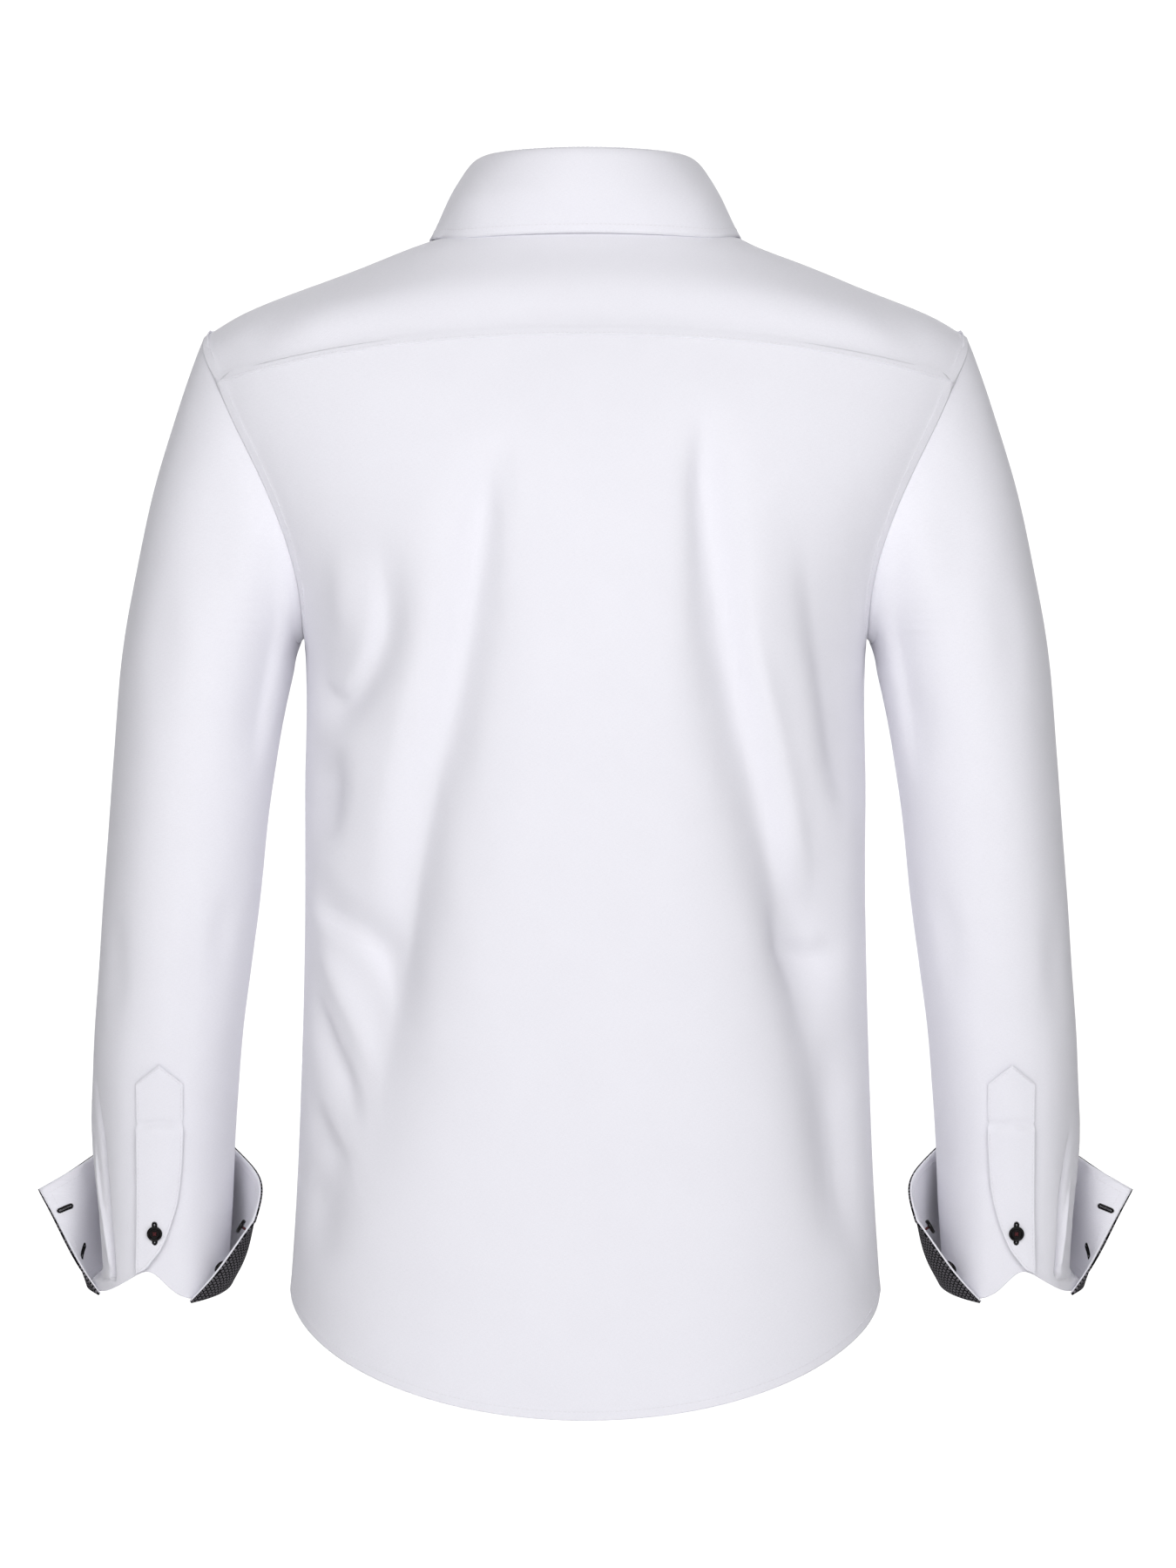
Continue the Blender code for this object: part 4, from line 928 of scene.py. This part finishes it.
def flatPiece(name, facing, look, material=white, turn=sheetTurn, below=()):
    # A small piece; with a radius its warp runs round the piece's own upright axis, else straight down
    mesh = smoothed(outerSheet(name, facing, turn), look["levels"])
    if below:
        resting(mesh, below, look)
    if "barZ" in look:
        setPlaces(mesh, places(mesh) + facings(mesh) * towerHeight(places(mesh), look)[:, None])
    co = places(mesh)
    across = co[:, 0]
    if "radius" in look:
        away = co - co.mean(0)
        across = look["radius"] * np.arctan2(away[:, 0], math.copysign(1, facing[1]) * away[:, 1])
    writeCut(mesh, across, co[:, 2])
    return addPiece(name + "_cloth", mesh, material, [name], look["thickness"])


collarStand = flatPiece("collar_stand", (0, 1, 0), collar)
collarLeaf = flatPiece("collar_leaf", (0, 1, 0), collar, turn=collar["leafTurn"],
                       below=[yoke, fronts["left"], fronts["right"]])
frontPlacket = flatPiece("front_placket", (0, -1, 0), frontStand)
sleeves, cuffs, facingCloths, sleevePlackets = {}, {}, {}, {}
for side, mirror in (("left", 1), ("right", -1)):
    sleeves[side] = sleevePiece(side, mirror)
    sleevePlackets[side] = flatPiece("sleeve_placket_" + side, (0, 1, 0), tower)
    cuffs[side] = flatPiece("cuff_" + side, (0, -1, 0.3), cuff)
    facingCloths[side] = flatPiece("cuff_facing_" + side, (0, -1, 0), facingLook, printed)
    pushedOut(facingCloths[side].data, facingLook)
print("sleeves, collar and cuffs made")


# Thread

stitch = {"length": 0.0021, "pitch": 0.0028, "radius": 0.00019, "rise": 0.00005}
holeStitch = {
    "length": 0.0017,
    "pitch": 0.0003,
    "radius": 0.0002,
    "rise": 0.0001,
    "side": 0.0010,  # from the slit to the middle of the stitches beside it
    "end": 0.0015,
    "slitEnd": 0.001,
    "slitRadius": 0.00022,
}


def spindle(length, radius):
    # One stitch, lying along X
    shape = bmesh.new()
    bmesh.ops.create_uvsphere(shape, u_segments=6, v_segments=4, radius=1)
    bmesh.ops.rotate(shape, verts=shape.verts, matrix=Matrix.Rotation(math.pi / 2, 3, "Y"))
    bmesh.ops.scale(shape, verts=shape.verts, vec=(length / 2, radius, radius))
    mesh = bpy.data.meshes.new("stitch")
    shape.to_mesh(mesh)
    shape.free()
    return mesh


def laidOut(small, spots):
    # Copies of a small mesh, one at each spot of (place, along, out), joined into one mesh
    co = places(small)
    faces = [tuple(face.vertices) for face in small.polygons]
    points, joined = [], []
    for place, along, out in spots:
        joined += [tuple(i + len(points) * len(co) for i in face) for face in faces]
        points.append(co @ np.stack([along, np.cross(out, along), out]) + place)
    mesh = bpy.data.meshes.new("laidOut")
    mesh.from_pydata(np.concatenate(points).tolist(), [], joined)
    return mesh


def evenly(line, pitch):
    # The same line in even steps
    line = np.array(line, float)
    run = np.concatenate([[0], np.cumsum(np.linalg.norm(np.diff(line, axis=0), axis=1))])
    at = np.arange(0, run[-1], pitch)
    return np.stack([np.interp(at, run, line[:, axis]) for axis in range(3)], -1)


def spotOn(tree, place, along, look, depth=0.0):
    # A stitch's place, direction and facing on the cloth; with a depth it lies on the cloth's back
    hit, out = tree.find_nearest(Vector(place))[:2]
    way = -1 if depth else 1
    hit = hit - out * depth + out * (look["rise"] * way)
    out = np.array(out * way)
    along = np.array(along, float)
    along -= out * (along @ out)
    return np.array(hit), along / np.linalg.norm(along), out


def stitchesAlong(tree, line, look=stitch, depth=0.0):
    steps = evenly(line, look["pitch"])
    return [spotOn(tree, (a + b) / 2, b - a, look, depth) for a, b in zip(steps, steps[1:])]


def beside(run, inset):
    return [point["co"] + point["inward"] * inset for point in run]


def joinedPiece(name, meshes, material):
    # Several meshes as one piece
    shape = bmesh.new()
    for mesh in meshes:
        shape.from_mesh(mesh)
    joined = bpy.data.meshes.new(name)
    shape.to_mesh(joined)
    shape.free()
    return addPiece(name, joined, material)


def straightRuns(run, turn=math.radians(30)):
    # A run broken at its corners
    pieces, current = [], [run[0]]
    for before, point, after in zip(run, run[1:], run[2:]):
        current.append(point)
        first, second = point["co"] - before["co"], after["co"] - point["co"]
        if first.angle(second, 0) > turn:
            pieces.append(current)
            current = [point]
    pieces.append(current + [run[-1]])
    return [piece for piece in pieces if len(piece) > 3]


def seam(piece, runs, inset, ends=0, depth=0.0):
    # The topstitching a little way in from a cut edge, short of its ends by a number of points
    tree = treeOf(piece.data)
    spots = []
    for run in runs:
        for part in straightRuns(run):
            line = beside(part[ends:len(part) - ends] if ends else part, inset)
            if len(line) > 2:
                spots += stitchesAlong(tree, line, depth=depth)
    return spots


def holeSpots(tree, centre, along, length, depth=0.0):
    # A buttonhole: stitches side by side round its slit, and the slit
    centre, along, out = spotOn(tree, centre, along, holeStitch, depth)
    side = np.cross(out, along)
    half = length / 2 - holeStitch["end"]
    ring = []
    for sign in (1, -1):
        for at in np.arange(-half, half, holeStitch["pitch"]):
            ring.append((centre + along * at * sign + side * sign * holeStitch["side"], side * sign))
        for turn in np.arange(0, math.pi, holeStitch["pitch"] / holeStitch["side"]):
            way = side * sign * math.cos(turn) + along * sign * math.sin(turn)
            ring.append((centre + along * half * sign + way * holeStitch["side"], way))
    spots = [spotOn(tree, place, way, holeStitch, depth) for place, way in ring]
    return spots, spotOn(tree, centre, along, holeStitch, depth)


stitchMesh = spindle(stitch["length"], stitch["radius"])
holeStitchMesh = spindle(holeStitch["length"], holeStitch["radius"])


def buttonholes(name, holes):
    # Each hole is given by its cloth's tree, its centre, direction and length, and the depth it lies at
    meshes = []
    for tree, centre, along, length, depth in holes:
        spots, slit = holeSpots(tree, centre, along, length, depth)
        slitMesh = spindle(length - 2 * holeStitch["slitEnd"], holeStitch["slitRadius"])
        meshes += [laidOut(holeStitchMesh, spots), laidOut(slitMesh, [slit])]
    return joinedPiece(name, meshes, darkThread)


# Buttons

button = {
    "radius": 0.00475,
    "section": [(0.0, 0.00135), (0.50, 0.00138), (0.62, 0.0015), (0.70, 0.0020), (0.80, 0.0023),
                (0.9, 0.00225), (0.985, 0.0018), (1.0, 0.0013), (0.985, 0.0008), (0.9, 0.0002),
                (0.8, 0.0), (0.0, 0.0)],
    "turns": 48,
    "holeOut": 0.00118,
    "holeTurns": 16,
    "holeRadius": 0.00062,
    "holeSection": [(0, -0.001), (1.25, -0.001), (1.2, 0.0), (1, 0.0003), (1, 0.00105), (1.1, 0.00128),
                    (1.35, 0.0015), (1.35, 0.003), (0, 0.003)],
    "sharp": math.radians(40),
    "threadRadius": 0.00022,
    "threadSpread": 1.5,  # radii between the strands of a bar
    "threadLength": 2.9,
    "threadRise": 0.0015,
    "threadCross": 0.00025,  # the upper bar lies this much higher
    "threadCrown": 0.00008,
}


def spun(section, turns):
    shape = bmesh.new()
    line = [shape.verts.new((out, 0, height)) for out, height in section]
    edges = [shape.edges.new(pair) for pair in zip(line, line[1:])]
    bmesh.ops.spin(shape, geom=line + edges, cent=(0, 0, 0), axis=(0, 0, 1), angle=2 * math.pi, steps=turns,
                   use_merge=True)
    bmesh.ops.remove_doubles(shape, verts=shape.verts, dist=1e-7)
    bmesh.ops.recalc_face_normals(shape, faces=shape.faces)
    mesh = bpy.data.meshes.new("spun")
    shape.to_mesh(mesh)
    shape.free()
    return mesh


def buttonMesh(look):
    # A turned disc with a rim and a dish, and four eased holes
    section = curveThrough(look["section"], 3) * [look["radius"], 1]
    section[0, 0] = section[-1, 0] = 0
    disc = spun(section, look["turns"])
    section = [(look["holeRadius"] * out, height) for out, height in look["holeSection"]]
    hole = spun(section, look["holeTurns"])
    away = look["holeOut"] * 0.707  # the holes lie at the corners of a square
    cutter = bmesh.new()
    for x in (-away, away):
        for y in (-away, away):
            start = len(cutter.verts)
            cutter.from_mesh(hole)
            cutter.verts.ensure_lookup_table()
            bmesh.ops.translate(cutter, verts=cutter.verts[start:], vec=(x, y, 0))
    cutterMesh = bpy.data.meshes.new("holes")
    cutter.to_mesh(cutterMesh)
    cutter.free()
    body, holes = bpy.data.objects.new("disc", disc), bpy.data.objects.new("holes", cutterMesh)
    for helper in (body, holes):
        bpy.context.scene.collection.objects.link(helper)
    cut = body.modifiers.new("holes", "BOOLEAN")
    cut.object = holes
    cut.operation = "DIFFERENCE"
    cut.solver = "EXACT"
    mesh = bpy.data.meshes.new_from_object(body.evaluated_get(bpy.context.evaluated_depsgraph_get()))
    for helper in (body, holes):
        bpy.data.objects.remove(helper)
    return mesh


def buttonThread(look):
    # Two crossed bars of thread over the dish, of three strands each
    spots = []
    for turn in (math.pi / 4, -math.pi / 4):
        along = np.array([math.cos(turn), math.sin(turn), 0])
        side = np.array([-along[1], along[0], 0]) * look["threadRadius"] * look["threadSpread"]
        for shift in (-1, 0, 1):
            rise = look["threadRise"] + look["threadCross"] * (turn > 0) + look["threadCrown"] * (shift == 0)
            spots.append((side * shift + [0, 0, rise], along, np.array([0, 0, 1.0])))
    return laidOut(spindle(look["holeOut"] * look["threadLength"], look["threadRadius"]), spots)


# A cuff's buttons stand off their cloth on a short shank of wound thread
shank = {"radius": 0.0009, "waist": 0.8, "turns": 6, "sides": 12, "into": 0.0004}


def buttonShank(look, length):
    # From the button's under side down to the cloth, a bulge for each turn of the thread
    step, waist = length / look["turns"], look["waist"] * look["radius"]
    section = [(0, 0)]
    for i in range(look["turns"]):
        section += [(waist, -i * step), (look["radius"], -(i + 0.5) * step)]
    return spun(section + [(waist, -length), (0, -length)], look["sides"])


def buttonPose(node):
    # Where a packed button lies: the middle of its underside and the way that it faces
    co = places(node.data)
    middle = co.mean(0)
    axis = np.linalg.svd(co - middle, full_matrices=False)[2][2]
    cloth = [tree.find_nearest(Vector(middle))[0] for name, tree in nodeTrees.items() if "button" not in name]
    nearest = min(cloth, key=lambda hit: np.linalg.norm(np.array(hit) - middle))
    if axis @ (middle - np.array(nearest)) < 0:
        axis = -axis
    foot = middle + axis * ((co - middle) @ axis).min()
    up = np.array([0, 0, 1.0]) - axis * axis[2]
    return foot, up / np.linalg.norm(up), axis


disc, cross = buttonMesh(button), buttonThread(button)
poses = {name: buttonPose(node) for name, node in nodes.items() if name.startswith("button")}
for name, pose in poses.items():
    made = addPiece(name + "_disc", laidOut(disc, [pose]), buttonBlack, [name])
    made.data.set_sharp_from_angle(angle=button["sharp"])
clothTrees = [treeOf(cloth.data) for cloth in [*cuffs.values(), *facingCloths.values()]]
shanks = []
for foot, along, out in (pose for name, pose in poses.items() if "cuff" in name):
    hits = [tree.ray_cast(Vector(foot + out * shank["into"]), Vector(-out))[3] for tree in clothTrees]
    gap = min(hit for hit in hits if hit is not None) - shank["into"]
    shanks.append(laidOut(buttonShank(shank, gap + shank["into"]), [(foot, along, out)]))
joinedPiece("button_threads", [laidOut(cross, list(poses.values()))] + shanks, shankThread)
print("buttons made")


# Topstitching and buttonholes

inset = {  # how far in from its edge each seam is stitched, in metres
    "hem": 0.0052,
    "seam": 0.0016,
    "armhole": 0.0058,
    "collar": 0.0055,
    "cuff": 0.0055,
    "placket": 0.0045,
    "tower": 0.0014,
}


def laidStitches(name, *seams):
    spots = [spot for laid in seams for spot in laid]
    joinedPiece(name, [laidOut(stitchMesh, spots)], whiteThread)


def panelStitches(name, piece, edges, finished, finish, sleeves):
    # Along the hem or the yoke's seams, and round the armholes
    laidStitches(name, seam(piece, stretches(edges, finished), inset[finish], 2),
                 seam(piece, stretches(edges, sewnTo(*sleeves)), inset["armhole"], 3))


def allRound(piece, kind, ends, depth=0.0):
    return seam(piece, edgeLoops(piece.data), inset[kind], ends, depth)


panelStitches("back_stitches", back, backEdges, free(["back_panel"]), "hem", sleeveNames)
panelStitches("yoke_stitches", yoke, yokeEdges, sewnTo("back_panel", *frontNames), "seam", sleeveNames)
for side in ("left", "right"):
    panelStitches("front_stitches_" + side, fronts[side], frontEdges[side], free(["front_" + side]), "hem",
                  ["sleeve_" + side])
    laidStitches("cuff_stitches_" + side, allRound(cuffs[side], "cuff", 2, cuff["thickness"]))
    laidStitches("sleeve_placket_stitches_" + side, allRound(sleevePlackets[side], "tower", 1))
laidStitches("collar_stitches", allRound(collarLeaf, "collar", 2), allRound(collarStand, "seam", 2))
laidStitches("placket_stitches", allRound(frontPlacket, "placket", 1))

holeLook = {
    "wing": [((0.3277, -0.6063), 0.0118), ((0.3172, -0.6332), 0.0140)],  # the place, x and z, and the length
    "wingAlong": (-0.904, 0, 0.43),
    "gauntlet": 0.0150,
    "front": 0.0145,
}
for side, mirror in (("left", 1), ("right", -1)):
    holes = []
    cuffTree, placketTree = treeOf(cuffs[side].data), treeOf(sleevePlackets[side].data)
    along = mirrored([holeLook["wingAlong"]], mirror)[0]
    for (x, z), length in holeLook["wing"]:
        centre = cuffTree.ray_cast(Vector((x * mirror, 0.5, z)), Vector((0, -1, 0)))[0]
        holes.append((cuffTree, centre, along, length, cuff["thickness"]))
    holes.append((placketTree, poses["button_gauntlet_" + side][0], (0, 0, 1), holeLook["gauntlet"], 0.0))
    buttonholes("buttonholes_" + side, holes)
placketTree, standTree = treeOf(frontPlacket.data), treeOf(collarStand.data)
length = holeLook["front"]
holes = [(placketTree, pose[0], (0, 0, 1), length, 0.0) for name, pose in poses.items() if "front" in name]
holes.append((standTree, poses["button_collar"][0], (1, 0, 0), length, 0.0))
buttonholes("buttonholes_front", holes)
print("stitches and buttonholes made")


# The cloth pieces, each with a pair of sizes and a neighbouring piece; nothing in the script reads this list

sheets = [
    (back, (0.52, 0.68), ["yoke_cloth"]),
    (yoke, (0.49, 0.17), ["back_panel_cloth"]),
    (fronts["left"], (0.29, 0.66), ["yoke_cloth"]),
    (fronts["right"], (0.29, 0.66), ["yoke_cloth"]),
    (frontPlacket, (0.033, 0.63), ["front_left_cloth"]),
    (collarStand, (0.45, 0.036), ["yoke_cloth"]),
    (collarLeaf, (0.50, 0.075), ["collar_stand_cloth"]),
]
for side in ("left", "right"):
    sheets += [
        (sleeves[side], (0.36, 0.58), ["yoke_cloth"]),
        (sleevePlackets[side], (0.026, 0.16), ["sleeve_" + side + "_cloth"]),
        (cuffs[side], (0.26, 0.076), ["sleeve_" + side + "_cloth"]),
        (facingCloths[side], (0.26, 0.076), ["cuff_" + side + "_cloth"]),
    ]


# Floor, light and camera

studio = {
    "floorBelow": 0.55,  # metres under the shirt's hem
    "cameraAway": 3.2,
    "cameraX": -0.0016,
    "cameraZ": -0.339,
    "frameHeight": 0.972,  # what the frame takes in at the shirt
    "sensor": 36.0,
    "softboxAway": 2.5,
    "softboxTurn": math.radians(17),
    "softboxHeight": 0.50,
    "softboxSize": 1.5,
    "softbox": 28.5,  # watts
    "overheadHeight": 2.3,
    "overhead": 6.0,
    "world": 0.20,
    "worldSeen": 1.15,  # to the camera itself
    "floorColours": ((0.96, 0.96, 0.965, 1), (0.93, 0.93, 0.94, 1)),
}


def areaLight(name, place, target, size, watts):
    light = bpy.data.lights.new(name, "AREA")
    light.shape = "SQUARE"
    light.size = size
    light.energy = watts
    holder = bpy.data.objects.new(name, light)
    holder.location = place
    holder.rotation_euler = (Vector(target) - Vector(place)).to_track_quat("-Z", "Y").to_euler()
    bpy.context.scene.collection.objects.link(holder)


floorShape = bmesh.new()
bmesh.ops.create_grid(floorShape, x_segments=2, y_segments=2, size=12)
bmesh.ops.translate(floorShape, verts=floorShape.verts, vec=(0, 0, cadBox[0].z - studio["floorBelow"]))
floorMesh = bpy.data.meshes.new("floor")
floorShape.to_mesh(floorMesh)
floorShape.free()
floor = bpy.data.objects.new("floor", floorMesh)
floorPaint, floorStart, floorSurface = newMaterial("paleFloor", {"Roughness": 0.9, "Emission Strength": 1.0})
link(floorStart.node("ShaderNodeLightPath"), floorSurface, "Emission Color")
floorGrain = floorStart.node("ShaderNodeTexNoise", None, {"Scale": 3.0})
link(mixColour(floorStart, floorGrain, *studio["floorColours"]), floorSurface, "Base Color")
floorMesh.materials.append(floorPaint)
bpy.context.scene.collection.objects.link(floor)

world = bpy.data.worlds.new("studio")
world.use_nodes = True
skyTree = world.node_tree
sky = skyTree.nodes["Background"]
sky.inputs["Color"].default_value = (1, 1, 1, 1)
seen = Wire(skyTree).node("ShaderNodeLightPath")
brightness = seen * (studio["worldSeen"] - studio["world"]) + studio["world"]
skyTree.links.new(brightness.socket, sky.inputs["Strength"])
bpy.context.scene.world = world

lookAt = (studio["cameraX"], 0, studio["cameraZ"])
for facing, name in ((1, "behind"), (-1, "before")):  # the same softboxes on every side of the shirt
    for side, hand in ((1, "Left"), (-1, "Right")):
        turn = studio["softboxTurn"] * side
        place = (studio["softboxAway"] * math.sin(turn), studio["softboxAway"] * math.cos(turn) * facing,
                 studio["softboxHeight"])
        areaLight(name + hand, place, lookAt, studio["softboxSize"], studio["softbox"])
areaLight("overhead", (0, 0, studio["overheadHeight"]), lookAt, studio["softboxSize"], studio["overhead"])

camera = bpy.data.cameras.new("camera")
camera.sensor_width = studio["sensor"]
camera.lens = studio["sensor"] * studio["cameraAway"] / studio["frameHeight"]
camera.dof.use_dof = False
cameraHolder = bpy.data.objects.new("camera", camera)
cameraHolder.location = (studio["cameraX"], studio["cameraAway"], studio["cameraZ"])
cameraHolder.rotation_euler = (math.radians(90), 0, math.radians(180))
bpy.context.scene.collection.objects.link(cameraHolder)
bpy.context.scene.camera = cameraHolder
bpy.context.scene.view_settings.view_transform = "Standard"
bpy.context.scene.view_settings.look = "None"
print("studio set")
